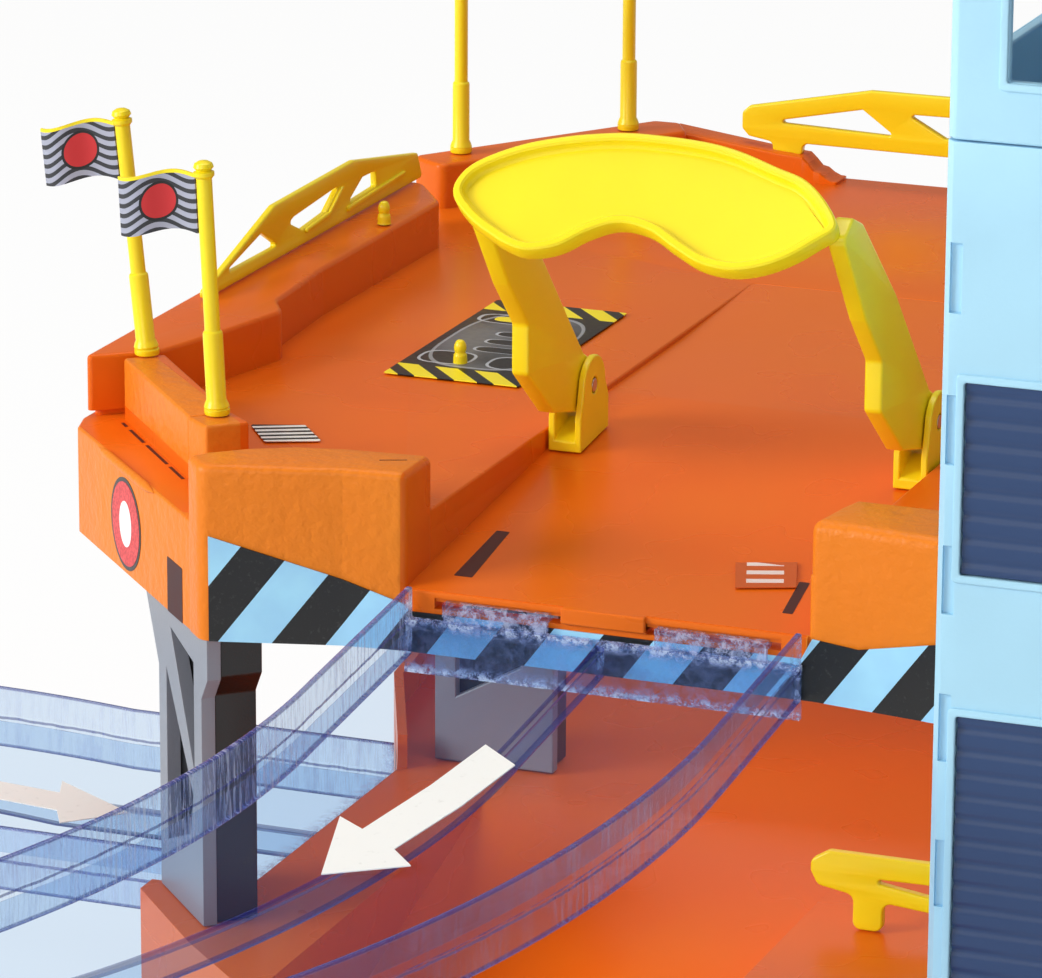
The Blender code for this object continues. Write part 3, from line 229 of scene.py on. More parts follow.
def fillet_outline(points, corner, offset=0.0, steps=None):
    """Counter-clockwise outline with arcs for corners, moved inwards by offset.

    At a corner P with inward unit normals a and b, the arc's centre is P + r (a + b) / (1 + a.b),
    on the other side of P where the corner is hollow.  The arc's points are the centre less
    (r - offset) times a normal that turns from a to b, so every offset has as many points.
    """
    points = np.asarray(points, dtype=float)
    steps = steps or sizes().corner_steps
    before = points - np.roll(points, 1, axis=0)
    after = np.roll(points, -1, axis=0) - points
    long_before = np.linalg.norm(before, axis=1)
    long_after = np.linalg.norm(after, axis=1)
    before = before / long_before[:, None]
    after = after / long_after[:, None]
    turn = np.arctan2(before[:, 0] * after[:, 1] - before[:, 1] * after[:, 0],
                      (before * after).sum(axis=1))
    side = np.where(turn >= 0.0, 1.0, -1.0)
    room = 0.46 * np.minimum(long_before, long_after)
    radius = np.minimum(np.broadcast_to(corner, turn.shape),
                        room / np.maximum(np.tan(np.abs(turn) / 2.0), 1e-6))
    radius = np.maximum(radius, side * offset + 1e-5)
    first = np.stack((-before[:, 1], before[:, 0]), axis=1)
    second = np.stack((-after[:, 1], after[:, 0]), axis=1)
    middle = (first + second) / (1.0 + (first * second).sum(axis=1))[:, None]
    centre = points + (side * radius)[:, None] * middle
    part = np.linspace(0.0, 1.0, steps + 1)
    angle = np.arctan2(first[:, 1], first[:, 0])[:, None] + turn[:, None] * part
    normal = np.stack((np.cos(angle), np.sin(angle)), axis=2)
    reach = (side * radius - offset)[:, None, None]
    return (centre[:, None, :] - reach * normal).reshape(-1, 2)


def counter_clockwise(points):
    """The outline turned round where the sum of its cross products, its area, is negative."""
    points = np.asarray(points, dtype=float)
    after = np.roll(points, -1, axis=0)
    area = (points[:, 0] * after[:, 1] - points[:, 1] * after[:, 0]).sum()
    return points if area > 0.0 else points[::-1]


def oriented(points, corner):
    """The outline turned counter-clockwise, with its radii kept beside their corners."""
    turned = counter_clockwise(points)
    corner = np.broadcast_to(corner, (len(turned),))
    same = np.allclose(turned[0], np.asarray(points, dtype=float)[0])
    return turned, corner if same else corner[::-1]


def rings(outline, corner, rows):
    """An outline carried up: one rounded ring for each row of inset and height."""
    flat = [fillet_outline(outline, corner, inset) for inset, _ in rows]
    return np.array([np.column_stack((ring, np.full(len(ring), height)))
                     for ring, (_, height) in zip(flat, rows)])


def carried(x, ring):
    """A section of Y and Z repeated at each X: rows of points, one row for each X."""
    return np.stack(np.broadcast_arrays(x[:, None], ring[None, :, 0], ring[None, :, 1]), axis=2)


def level_rings(outline, *heights):
    """The same flat outline at each height."""
    return np.array([np.column_stack((outline, np.broadcast_to(height, len(outline))))
                     for height in heights])


def quads(rows, columns):
    """Four-sided faces between neighbouring rows of points, each row closed on itself."""
    row = np.arange(rows - 1)[:, None] * columns
    here = np.arange(columns)[None, :]
    beside = (here + 1) % columns
    return np.stack((row + here, row + beside, row + columns + beside, row + columns + here),
                    axis=2).reshape(-1, 4)


def spline(points, count, closed=True):
    """Points along a smooth curve: on each span the usual cubic through its four neighbours."""
    points = np.asarray(points, dtype=float)
    total = len(points)
    place = np.linspace(0.0, total if closed else total - 1, count, endpoint=not closed)
    index = np.minimum(place.astype(int), total - 1 if closed else total - 2)
    t = (place - index)[:, None]
    around = [index - 1, index, index + 1, index + 2]
    if closed:
        p0, p1, p2, p3 = (points[k % total] for k in around)
    else:
        p0, p1, p2, p3 = (points[np.clip(k, 0, total - 1)] for k in around)
    return 0.5 * (2.0 * p1 + (p2 - p0) * t + (2.0 * p0 - 5.0 * p1 + 4.0 * p2 - p3) * t ** 2
                  + (3.0 * p1 - p0 - 3.0 * p2 + p3) * t ** 3)


def resampled(points, count):
    """The same closed line with its points at even distances."""
    loop = np.vstack((points, points[:1]))
    run = np.concatenate(([0.0], np.cumsum(np.linalg.norm(np.diff(loop, axis=0), axis=1))))
    want = np.linspace(0.0, run[-1], count, endpoint=False)
    return np.stack([np.interp(want, run, loop[:, k]) for k in range(loop.shape[1])], axis=1)


def smooth_inset(points, distance):
    """A smooth closed line moved inwards along its own normals."""
    along = np.roll(points, -1, axis=0) - np.roll(points, 1, axis=0)
    along = along / np.linalg.norm(along, axis=1)[:, None]
    return points + distance * np.stack((-along[:, 1], along[:, 0]), axis=1)


class Form:
    """Closed surfaces gathered into one piece's mesh, laid out from the exit lip."""

    def __init__(self):
        self.points = []
        self.faces = []
        self.count = 0
        self.marks = {}

    def add(self, points, faces, **marks):
        """Keep a surface: points as an array, faces as lists of its own indices."""
        points = np.asarray(points, dtype=float).reshape(-1, 3)
        self.points.append(points)
        self.faces += [[index + self.count for index in face] for face in faces]
        for name, values in marks.items():
            self.marks.setdefault(name, []).append((self.count, np.asarray(values).ravel()))
        self.count += len(points)
        return self

    def grid(self, points, **marks):
        """Closed rows of points joined by four-sided faces, with one face over each end."""
        rows, columns = points.shape[:2]
        ends = np.arange(columns)
        faces = [*quads(rows, columns).tolist(), ends[::-1].tolist(),
                 (ends + (rows - 1) * columns).tolist()]
        return self.add(points, faces, **marks)

    def block(self, outline, low, high, edge, corner, foot=0.0, top=None, under=0.0):
        """An upright block: the outline carried up, its top edge a quarter circle of radius edge.

        foot is the radius of the hollow rounding round its base and under that of its lower edge;
        top gives the height of its top along X, blended in from the base up.
        """
        outline, corner = oriented(outline, corner)
        base = [(0.0, low)]
        if foot or under:
            base = rounding(under - foot, low, 5, top=False)
        made = rings(outline, corner, np.vstack((base, rounding(edge, high, 5))))
        if top:
            share = (made[..., 2] - low) / (high - low)
            made[..., 2] += share * (top(made[..., 0]) - high)
        return self.grid(made)

    def slab(self, outline, low, high, edge, corner, plane="YZ", holes=(), hole_corner=0.0005):
        """A plate with all its edges rounded; plane names the outline's axes, holes go through."""
        order = {"XY": (0, 1, 2), "XZ": (0, 2, 1), "YZ": (1, 2, 0)}[plane]
        edge = min(edge, (high - low) * 0.49)
        rows = np.vstack((rounding(edge, low, top=False), rounding(edge, high)))
        made = [rings(counter_clockwise(outline), corner, rows)]
        made += [rings(counter_clockwise(hole), hole_corner, rows * (-1.0, 1.0))
                 for hole in holes]
        faces = []
        first = []
        base = 0
        for loop in made:
            columns = loop.shape[1]
            faces += (quads(len(rows), columns) + base).tolist()
            first.append(base + np.arange(columns))
            base += len(rows) * columns
        for row in (0, len(rows) - 1):
            ends = np.concatenate([start + row * len(start) for start in first])
            lines = [[Vector(point) for point in loop[row]] for loop in made]
            faces += ends[np.array(tessellate_polygon(lines))].tolist()
        placed = np.empty((base, 3))
        placed[:, order] = np.vstack([loop.reshape(-1, 3) for loop in made])
        return self.add(placed, faces)

    def turned(self, profile, centre, axis=(0.0, 0.0, 1.0), sides=32, ridges=0, depth=0.0):
        """A profile of (radius, height) swept round an axis, with ridges waved into its radius."""
        profile = np.asarray(profile, dtype=float)
        axis = np.asarray(axis, dtype=float) / np.linalg.norm(axis)
        aside = np.cross(axis, (0.0, 1.0, 0.0) if abs(axis[1]) < 0.9 else (1.0, 0.0, 0.0))
        aside = aside / np.linalg.norm(aside)
        across = np.cross(axis, aside)
        angle = np.linspace(0.0, 2.0 * math.pi, sides, endpoint=False)
        wave = 1.0 + depth * np.cos(ridges * angle) if ridges else np.ones(sides)
        radius = np.maximum(profile[:, 0], 2e-5)[:, None] * wave
        spot = (np.asarray(centre) + profile[:, 1, None, None] * axis
                + radius[..., None] * (np.cos(angle)[:, None] * aside
                                       + np.sin(angle)[:, None] * across))
        return self.grid(spot)

    def tube(self, path, radius, sides=10):
        """A round bar along a path; radius may change from point to point."""
        path = np.asarray(path, dtype=float)
        radius = np.broadcast_to(radius, (len(path),))
        along = np.gradient(path, axis=0)
        along = along / np.linalg.norm(along, axis=1)[:, None]
        up = np.where(np.abs(along[:, 2:3]) < 0.9, [[0.0, 0.0, 1.0]], [[1.0, 0.0, 0.0]])
        aside = np.cross(along, up)
        aside = aside / np.linalg.norm(aside, axis=1)[:, None]
        across = np.cross(along, aside)
        angle = np.linspace(0.0, 2.0 * math.pi, sides, endpoint=False)
        ring = (np.cos(angle)[None, :, None] * aside[:, None, :]
                + np.sin(angle)[None, :, None] * across[:, None, :])
        return self.grid(path[:, None, :] + radius[:, None, None] * ring)

    def piece(self, name, finish, body, *nodes, angle=32.0):
        """Make the mesh with its faces outwards, and place it."""
        mesh = bpy.data.meshes.new(name)
        points = np.vstack(self.points) + ORIGIN
        mesh.from_pydata(points.tolist(), [], self.faces)
        for mark, parts in self.marks.items():
            layer = mesh.attributes.new(mark, "FLOAT", "POINT")
            values = np.zeros(len(points), dtype=np.float32)
            for start, some in parts:
                values[start:start + len(some)] = some
            layer.data.foreach_set("value", values)
        bm = bmesh.new()
        bm.from_mesh(mesh)
        bmesh.ops.recalc_face_normals(bm, faces=bm.faces)
        bm.to_mesh(mesh)
        bm.free()
        return place_mesh(name, mesh, finish, body, nodes, angle)


def place_mesh(name, mesh, finish, body, nodes, angle):
    """Smooth a mesh, give it its finish and its body, and let it stand for its solids."""
    mesh.shade_smooth()
    mesh.set_sharp_from_angle(angle=math.radians(angle))
    mesh.materials.append(finish_of(finish))
    item = bpy.data.objects.new(name, mesh)
    bpy.context.scene.collection.objects.link(item)
    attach(item, body)
    if nodes:
        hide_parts(*nodes)
    return item


def softened(node, finish, body, edge, segments=3):
    """A solid's own shape with its edges rounded: its flat faces are joined, then bevelled."""
    angle = 28.0
    mesh = frame["nodes"][node].data.copy()
    mesh.materials.clear()
    bm = bmesh.new()
    bm.from_mesh(mesh)
    bmesh.ops.remove_doubles(bm, verts=bm.verts, dist=2e-6)
    bmesh.ops.dissolve_limit(bm, angle_limit=math.radians(0.6), verts=bm.verts, edges=bm.edges)
    bm.to_mesh(mesh)
    bm.free()
    item = place_mesh(node + "_soft", mesh, finish, body, (node,), angle)
    bevel = item.modifiers.new("edges", "BEVEL")
    bevel.width = edge
    bevel.segments = segments
    bevel.limit_method = "ANGLE"
    bevel.angle_limit = math.radians(angle)
    bevel.use_clamp_overlap = True
    bevel.harden_normals = True


# Shader sums

class Signal:
    """A shader socket on which sums can be written."""

    def __init__(self, finish, socket):
        self.finish = finish
        self.socket = socket

    def maths(self, operation, *values):
        """A Math node with these values or sockets as its inputs."""
        inputs = dict(enumerate(values))
        return self.finish.node("ShaderNodeMath", {"operation": operation}, inputs)

    def __add__(self, other):
        return self.maths("ADD", self, other)

    def __radd__(self, other):
        return self.maths("ADD", other, self)

    def __sub__(self, other):
        return self.maths("SUBTRACT", self, other)

    def __rsub__(self, other):
        return self.maths("SUBTRACT", other, self)

    def __mul__(self, other):
        return self.maths("MULTIPLY", self, other)

    def __rmul__(self, other):
        return self.maths("MULTIPLY", other, self)

    def __truediv__(self, other):
        return self.maths("DIVIDE", self, other)

    def __pow__(self, other):
        return self.maths("POWER", self, other)

    def above(self, other):
        return self.maths("GREATER_THAN", self, other)

    def below(self, other):
        return self.maths("LESS_THAN", self, other)

    def fraction(self):
        return self.maths("FRACT", self)

    def size(self):
        return self.maths("ABSOLUTE", self)

    def sine(self):
        return self.maths("SINE", self)

    def least(self, other):
        return self.maths("MINIMUM", self, other)

    def most(self, other):
        return self.maths("MAXIMUM", self, other)

    def between(self, low, high):
        """1 where the value lies between the two numbers."""
        return self.above(low) * self.below(high)

    def ramp(self, low, high):
        """0 at low and 1 at high, with a soft start and end."""
        settings = {"interpolation_type": "SMOOTHSTEP"}
        inputs = {"Value": self, "From Min": low, "From Max": high}
        return self.finish.node("ShaderNodeMapRange", settings, inputs)


class Finish:
    """The node tree of a new material, or of the world."""

    def __init__(self, name="", owner=None):
        self.owner = owner or bpy.data.materials.new(name)
        self.owner.use_nodes = True
        self.tree = self.owner.node_tree
        self.tree.nodes.clear()

    def node(self, kind, settings=(), sockets=(), output=0):
        """Add a node: its settings first, then the value or link of each socket."""
        made = self.tree.nodes.new(kind)
        for key, value in dict(settings).items():
            setattr(made, key, value)
        for key, value in dict(sockets).items():
            if isinstance(value, Signal):
                self.tree.links.new(value.socket, made.inputs[key])
            else:
                made.inputs[key].default_value = value
        return Signal(self, made.outputs[output]) if made.outputs else None

    def outputs(self, kind, names, sockets=()):
        """Several outputs of one node."""
        made = self.node(kind, (), sockets).socket.node
        return [Signal(self, made.outputs[name]) for name in names]

    def place(self):
        """The place on the piece, which rides with it."""
        return self.node("ShaderNodeTexCoord", output="Object")

    def axes(self):
        """X, Y and Z as numbers, measured from the exit lip."""
        moved = self.node("ShaderNodeVectorMath", {"operation": "SUBTRACT"},
                          {0: self.place(), 1: tuple(ORIGIN)})
        return self.outputs("ShaderNodeSeparateXYZ", "XYZ", {0: moved})

    def noise(self, scale, detail=2.0, rough=0.5, place=None):
        """Cloudy values round a half, with scale patches to the metre."""
        return self.node("ShaderNodeTexNoise", (), {"Vector": place or self.place(),
                                                    "Scale": scale, "Detail": detail,
                                                    "Roughness": rough})

    def mark(self, name):
        """A value kept at each point of the mesh."""
        return self.node("ShaderNodeAttribute", {"attribute_name": name}, output="Fac")

    def blend(self, factor, first, second):
        """A colour between two colours."""
        return self.node("ShaderNodeMix", {"data_type": "RGBA"}, {0: factor, 6: first, 7: second},
                         2)

    def skin(self, base, rough, relief=None, **sockets):
        """The main shader; relief is a bump's height, distance and strength."""
        named = {key.replace("_", " "): value for key, value in sockets.items()}
        if relief:
            bump = dict(zip(("Height", "Distance", "Strength"), relief))
            named["Normal"] = self.node("ShaderNodeBump", (), bump)
        return self.node("ShaderNodeBsdfPrincipled", (),
                         {"Base Color": base, "Roughness": rough, **named})

    def done(self, shader, end="ShaderNodeOutputMaterial"):
        """Send a shader to the output, which ends the tree."""
        self.node(end, (), {"Surface": shader})
        return self.owner


def orange_plastic():
    """Deck mouldings: grained, with painted light along the front and outer left, glossy inside.

    The grained lit face is what lies in front of the side wall and either within a hair of the
    deck's front or outer left face, or above its floor and no deeper than the blocks, less the
    lane's sides. It is painted paler and more golden as if lit; the rest takes the deeper red
    orange as painted shade.
    """
    hair, block_depth = 0.0007, 0.0180
    wall_slope, wall_start = 0.82, 0.1745
    finish = Finish("orange_plastic")
    x, y, z = finish.axes()
    start, ahead = (point.tolist() for point in outer_line())
    inward = (y - start[1]) * ahead[0] - (x - start[0]) * ahead[1]
    depth = inward.least(y)
    grained_lit_face = depth.below(hair).most(z.above(DECK_FLOOR + hair) * depth.below(block_depth))
    lane_side = x.between(-LANE_HALF - 0.0010, LANE_HALF - 0.0004)
    before_side_wall = (y - wall_slope * x).below(wall_start)
    grained_lit_face = grained_lit_face * z.above(DECK_BOTTOM - 0.001) * (1.0 - lane_side) * before_side_wall
    drift = finish.noise(9.0, 3.0)
    cloud = finish.noise(38.0)
    grain = finish.noise(1500.0, 3.0, 0.6)
    ripple = finish.noise(420.0)
    dents = finish.noise(150.0, 1.0, 0.4)
    # Painted light: the grained lit face takes the paler golden orange as if lit, and the rest
    # takes the deeper red orange as painted shade; the noise adds a random tone.
    tone_and_painted_light = (drift * 0.7 + cloud * 0.3).ramp(0.36, 0.64) * 0.22 + grained_lit_face * 0.78
    base = finish.blend(tone_and_painted_light, colour("deep_orange"), colour("orange"))
    height = (grain * 0.08 + ripple * 0.52 + dents * 0.40) * (0.012 + 0.988 * grained_lit_face)
    rough = 0.28 + 0.10 * grained_lit_face + 0.10 * (cloud - 0.5) + 0.08 * (grain - 0.5) * grained_lit_face
    return finish.done(finish.skin(base, rough, (height, 0.0010, 0.65), Specular_IOR_Level=0.22))


def yellow_plastic():
    """Bright smooth moulding with faint flow marks."""
    finish = Finish("yellow_plastic")
    flow = finish.noise(22.0, 3.0)
    fine = finish.noise(900.0)
    deep = colour("yellow", np.array((0.97, 0.92, 0.90)))
    base = finish.blend(flow.ramp(0.35, 0.7), deep, colour("yellow"))
    return finish.done(finish.skin(base, 0.30 + 0.12 * (flow - 0.5),
                                   (flow * 0.7 + fine * 0.3, 0.00012, 0.5),
                                   Specular_IOR_Level=0.45))


def tower_plastic(name, key, rough):
    """Satin tower moulding with a light even grain, a little darker in patches within 5 cm of the
    ground.
    """
    finish = Finish(name)
    cloud = finish.noise(16.0, 3.0)
    grain = finish.noise(1300.0)
    _, _, height = finish.axes()
    darker_low_down = (1.0 - height.ramp(0.0, 0.05)) * cloud * 0.35
    base = finish.blend((1.0 - cloud.ramp(0.3, 0.7)) * 0.5 + darker_low_down, colour(key), colour(key, 0.80))
    return finish.done(finish.skin(base, rough + 0.12 * (grain - 0.5),
                                   (grain * 0.6 + cloud * 0.4, 0.0001, 0.5)))


def satin_plastic(name, key, rough):
    """Plain grey or black moulding with fine spark-eroded grain and pale handling marks."""
    finish = Finish(name)
    cloud = finish.noise(30.0, 3.0)
    grain = finish.noise(2200.0)
    base = finish.blend(cloud.ramp(0.45, 0.8) * 0.6, colour(key), colour(key, 1.25, 0.01))
    return finish.done(finish.skin(base, rough + 0.2 * (cloud - 0.5), (grain, 0.00008, 0.5)))


def bare_steel():
    """Turned steel with fine lines round the pin."""
    finish = Finish("bare_steel")
    fine = finish.node("ShaderNodeMapping", (), {"Vector": finish.place(),
                                                 "Scale": (9000.0, 300.0, 300.0)})
    lines = finish.noise(1.0, place=fine)
    return finish.done(finish.skin((0.55, 0.55, 0.57, 1.0), 0.26 + 0.2 * lines,
                                   (lines, 0.00003, 0.4), Metallic=1.0))


def clear_ramp():
    """Blue-violet clear moulding with deep blue lines along its edges, and kerbs whose white is
    partly frost and partly painted light glowing through them.

    The marks side and rise are the distance from the ramp's middle and the height over its bed,
    run is the distance along it, and the frost mark is 1 on the plates by the lip, whose white
    specks are partly scuffed frost and partly painted glints.
    """
    finish = Finish("clear_ramp")
    frost, run, side, rise = (finish.mark(name) for name in ("frost", "run", "side", "rise"))
    reach = side.size()
    kerb = reach.above(RAMP_HALF - KERB - CLEAR)
    rib = reach.below(0.0016) * rise.below(-BED - 0.0002)
    wander = finish.noise(260.0) * 0.0006
    rims = rise.ramp(KERB_UP - 0.0006, KERB_UP - 0.0002)
    rims = rims.most(1.0 - rise.ramp(0.0001 - SKIRT, 0.0005 - SKIRT))
    middle = 1.0 - (rise + wander + BED * 0.7).size().ramp(0.00020, 0.00042)
    line = (kerb * rims.most(middle)).most(rib * rise.below(0.0007 - SKIRT))
    line = line.most(reach.below(0.0011) * rise.between(-BED - 0.0009, -BED + 0.0002))
    place = finish.node("ShaderNodeCombineXYZ", (), {0: run * 1100.0, 1: rise * 90.0,
                                                     2: side * 40.0})
    streak = finish.noise(1.0, 3.0, 0.75, place).ramp(0.45, 0.66)
    patch = finish.noise(11.0).ramp(0.40, 0.62)
    speck = finish.noise(420.0, 4.0, 0.8).ramp(0.42, 0.60)
    cloud = finish.noise(30.0, 3.0).ramp(0.52, 0.75)
    # Painted light: the kerbs' white is partly frosted streaks and partly a painted glow of light
    # through the clear plastic, stronger on one kerb; the white specks on the plates by the lip are
    # partly frost and partly painted glints.
    kerb_frost_and_glow = kerb * (0.08 + streak * (0.20 + 0.55 * patch)) * (0.45 + 0.55 * side.below(0.0))
    white = (kerb_frost_and_glow + frost * speck * 0.95).least(1.0)
    shown = 0.006 * cloud + kerb * 0.03 + rib * 0.06 + kerb_frost_and_glow * 0.64
    shown = (shown + frost * (0.06 + 0.80 * speck) + line * 0.58).least(0.96)
    base = finish.blend(white, colour("tint"), colour("frost"))
    base = finish.blend(line * (1.0 - white * 0.55), base, colour("edge_blue"))
    skin = finish.skin(base, 0.08 + 0.35 * white, (speck * frost + streak * kerb, 0.0001, 0.4),
                       Specular_IOR_Level=0.6)
    clear = finish.node("ShaderNodeBsdfTransparent", (), {"Color": (0.855, 0.920, 0.975, 1.0)})
    gloss = finish.node("ShaderNodeLayerWeight", (), {"Blend": 0.16}, "Fresnel")
    factor = (shown + gloss * 0.06).least(1.0)
    return finish.done(finish.node("ShaderNodeMixShader", (), {0: factor, 1: clear, 2: skin}))


def band_label():
    """Front band: slanted stripes in pale blue and worn black."""
    finish = Finish("band_label")
    x, _, z = finish.axes()
    phase = ((x - 0.75 * (z - LIP)) / (2.0 * sizes().stripe) + 0.33).fraction()
    wear = finish.noise(900.0, 4.0, 0.7).ramp(0.56, 0.70)
    cloud = finish.noise(60.0, 3.0)
    dark = finish.blend(wear * (0.25 + 0.4 * cloud), colour("ink", 0.62), colour("ink", 2.4, 0.03))
    pale = finish.blend(cloud.ramp(0.4, 0.75), colour("band_blue"), colour("band_blue", 1.18))
    base = finish.blend(phase.above(0.5), pale, dark)
    return finish.done(finish.skin(base, 0.34 + 0.16 * wear, (wear, 0.00003, 0.3)))


def lift_label():
    """Lift pad print: dark plates with pale lines, and hazard bands at both ends."""
    low, high = node_low("label_pad"), node_high("label_pad")
    finish = Finish("lift_label")
    x, y, _ = finish.axes()
    across = (x - low[0]) / (high[0] - low[0])
    along = (y - low[1]) / (high[1] - low[1])
    band = (0.13 - along).most(along - 0.87).above(0.0)
    stripes = ((x + 0.9 * (y - low[1])) / 0.0094).fraction().above(0.58)
    hazard = finish.blend(stripes, colour("yellow"), colour("ink"))

    def plate(centre, half):
        """How far a place lies from the middle of a rounded plate: 1 at its edge."""
        wide = ((across - centre[0]) / half[0]).size() ** 3.0
        tall = ((along - centre[1]) / half[1]).size() ** 3.0
        return (wide + tall) ** (1.0 / 3.0)

    whole = plate((0.5, 0.5), (0.43, 0.35))
    sheen = finish.noise(60.0).ramp(0.3, 0.7)
    marked = finish.blend(whole.below(1.0) * (0.30 + 0.70 * sheen), colour("ink"),
                          colour("pale_grey", 0.30))
    spots = [((0.26, 0.25), (0.18, 0.070)), ((0.77, 0.25), (0.18, 0.070)),
             ((0.30, 0.77), (0.22, 0.052))]
    spots += [((0.55, 0.39 + 0.10 * k), (0.19, 0.030)) for k in range(3)]
    for centre, half in spots:
        near = plate(centre, half)
        marked = finish.blend(near.below(1.12), marked, colour("pale_grey"))
        marked = finish.blend(near.below(1.0), marked, colour("ink"))
    marked = finish.blend(whole.between(0.97, 1.02) * 0.6, marked, colour("pale_grey"))
    marked = finish.blend(plate((0.30, 0.77), (0.12, 0.030)).below(1.0), marked,
                          colour("yellow"))
    base = finish.blend(band, marked, hazard)
    wear = finish.noise(700.0, 3.0)
    return finish.done(finish.skin(base, 0.35 + 0.15 * (wear - 0.5), (wear, 0.00002, 0.3)))


def grille_label():
    """Small white label with thin dark slats."""
    finish = Finish("grille_label")
    x, y, _ = finish.axes()
    slats = ((y - 0.50 * x) / 0.0031 + 0.2).fraction().above(0.5)
    base = finish.blend(slats, colour("white"), colour("ink"))
    return finish.done(finish.skin(base, 0.36 + 0.1 * finish.noise(800.0)))


def lane_label():
    """Dark patch on the lane with plain pale bars."""
    finish = Finish("lane_label")
    x, y, _ = finish.axes()
    bars = ((y - 0.28 * x) / 0.0046 + 0.15).fraction().between(0.40, 0.85)
    inside = (x - 0.33 * (0.0307 - y)).between(0.0195, 0.0275) * y.between(0.0200, 0.0320)
    base = finish.blend(bars * inside * 0.72, colour("deep_orange", 0.74), colour("white"))
    return finish.done(finish.skin(base, 0.38 + 0.1 * finish.noise(900.0)))


def white_label():
    """Matt white print with faint scuffs."""
    finish = Finish("white_label")
    scuff = finish.noise(500.0, 3.0).ramp(0.62, 0.8)
    base = finish.blend(scuff, colour("white"), colour("white", 0.86))
    return finish.done(finish.skin(base, 0.42 + 0.1 * scuff))


def flag_print():
    """Grey flag with dark waves, a yellow top edge and a plain round red mark."""
    finish = Finish("flag_print")
    along, up = finish.mark("along"), finish.mark("up")
    wave = up * 6.0 + 0.55 * (along * 7.5 + 0.6).sine()
    dark = wave.fraction().between(0.38, 0.84)
    base = finish.blend(dark, colour("flag"), colour("flag", 0.07))
    round_x = (along - 0.48) * 1.45
    round_y = up - 0.5
    radius = (round_x * round_x + round_y * round_y) ** 0.5
    base = finish.blend(radius.below(0.33), base, colour("ink"))
    base = finish.blend(radius.below(0.285), base, colour("red"))
    base = finish.blend(up.above(0.945), base, colour("yellow"))
    grain = finish.noise(1200.0)
    return finish.done(finish.skin(base, 0.44 + 0.1 * (grain - 0.5), (grain, 0.00004, 0.4)))


def red_print():
    """Faded red print with a fine speckle."""
    finish = Finish("red_print")
    speckle = finish.noise(1400.0, 3.0)
    base = finish.blend(speckle.ramp(0.35, 0.75), colour("red"), colour("red", 1.5, 0.06))
    return finish.done(finish.skin(base, 0.38 + 0.1 * speckle))


def painted_slot_shade():
    """Painted shade: the dark red that the orange moulding shows deep in a shaded slot."""
    finish = Finish("painted_slot_shade")
    cloud = finish.noise(200.0)
    base = finish.blend(cloud, (0.040, 0.004, 0.003, 1.0), (0.075, 0.008, 0.005, 1.0))
    return finish.done(finish.skin(base, 0.5 + 0.1 * cloud))


MAKERS = {
    "orange": orange_plastic,
    "yellow": yellow_plastic,
    "tower": lambda: tower_plastic("tower_plastic", "tower", 0.38),
    "dark_blue": lambda: tower_plastic("dark_blue_plastic", "dark_blue", 0.34),
    "grey": lambda: satin_plastic("grey_plastic", "grey", 0.36),
    "pale_grey": lambda: satin_plastic("pale_grey_plastic", "pale_grey", 0.36),
    "black": lambda: satin_plastic("black_plastic", "ink", 0.34),
    "steel": bare_steel,
    "ramp": clear_ramp,
    "band": band_label,
    "pad": lift_label,
    "grille": grille_label,
    "lane": lane_label,
    "white": white_label,
    "flag": flag_print,
    "slot_shade": painted_slot_shade,
    "red": red_print,
}

# Each finish's material, once it is made
FINISHES = {}


def finish_of(name):
    """Each material is made once, from its own function."""
    if name not in FINISHES:
        FINISHES[name] = MAKERS[name]()
    return FINISHES[name]


# Upper deck

def lane_height(y):
    """The lane climbs from the lip, runs level, and comes up to the floor at its end."""
    rise = np.interp(y, (LANE_END - LANE_RISE, LANE_END), (0.0, DECK_FLOOR - LANE_FLAT - 0.00006))
    return np.minimum(LIP + LANE_GRADE * y, LANE_FLAT) + rise


def deck_edge():
    """Outer edge of the upper deck from the right of the lip, round the back, to its left."""
    right = [(0.046, 0.0), (TOWER_LEFT - CLEAR, -0.004), (TOWER_LEFT - CLEAR, TOWER_BACK + CLEAR),
             (TOWER_RIGHT, TOWER_BACK + CLEAR), (TOWER_RIGHT, 0.240), (0.075, DECK_BACK),
             (-0.060, DECK_BACK)]
    left = mm((-106.5, 322), (-148.5, 262), (-142, 247), (-142, 58))
    return np.vstack((right, left, OUTER_FACE, mm((-56, -1.5))))


def with_lane(edge, inner=0.0):
    """An edge that starts and ends at the lip, with the lane cut out between."""
    half = LANE_HALF + inner
    lane = [(-half, 0.0), (-half, LANE_END + inner), (half, LANE_END + inner), (half, 0.0)]
    return np.vstack((edge, lane))


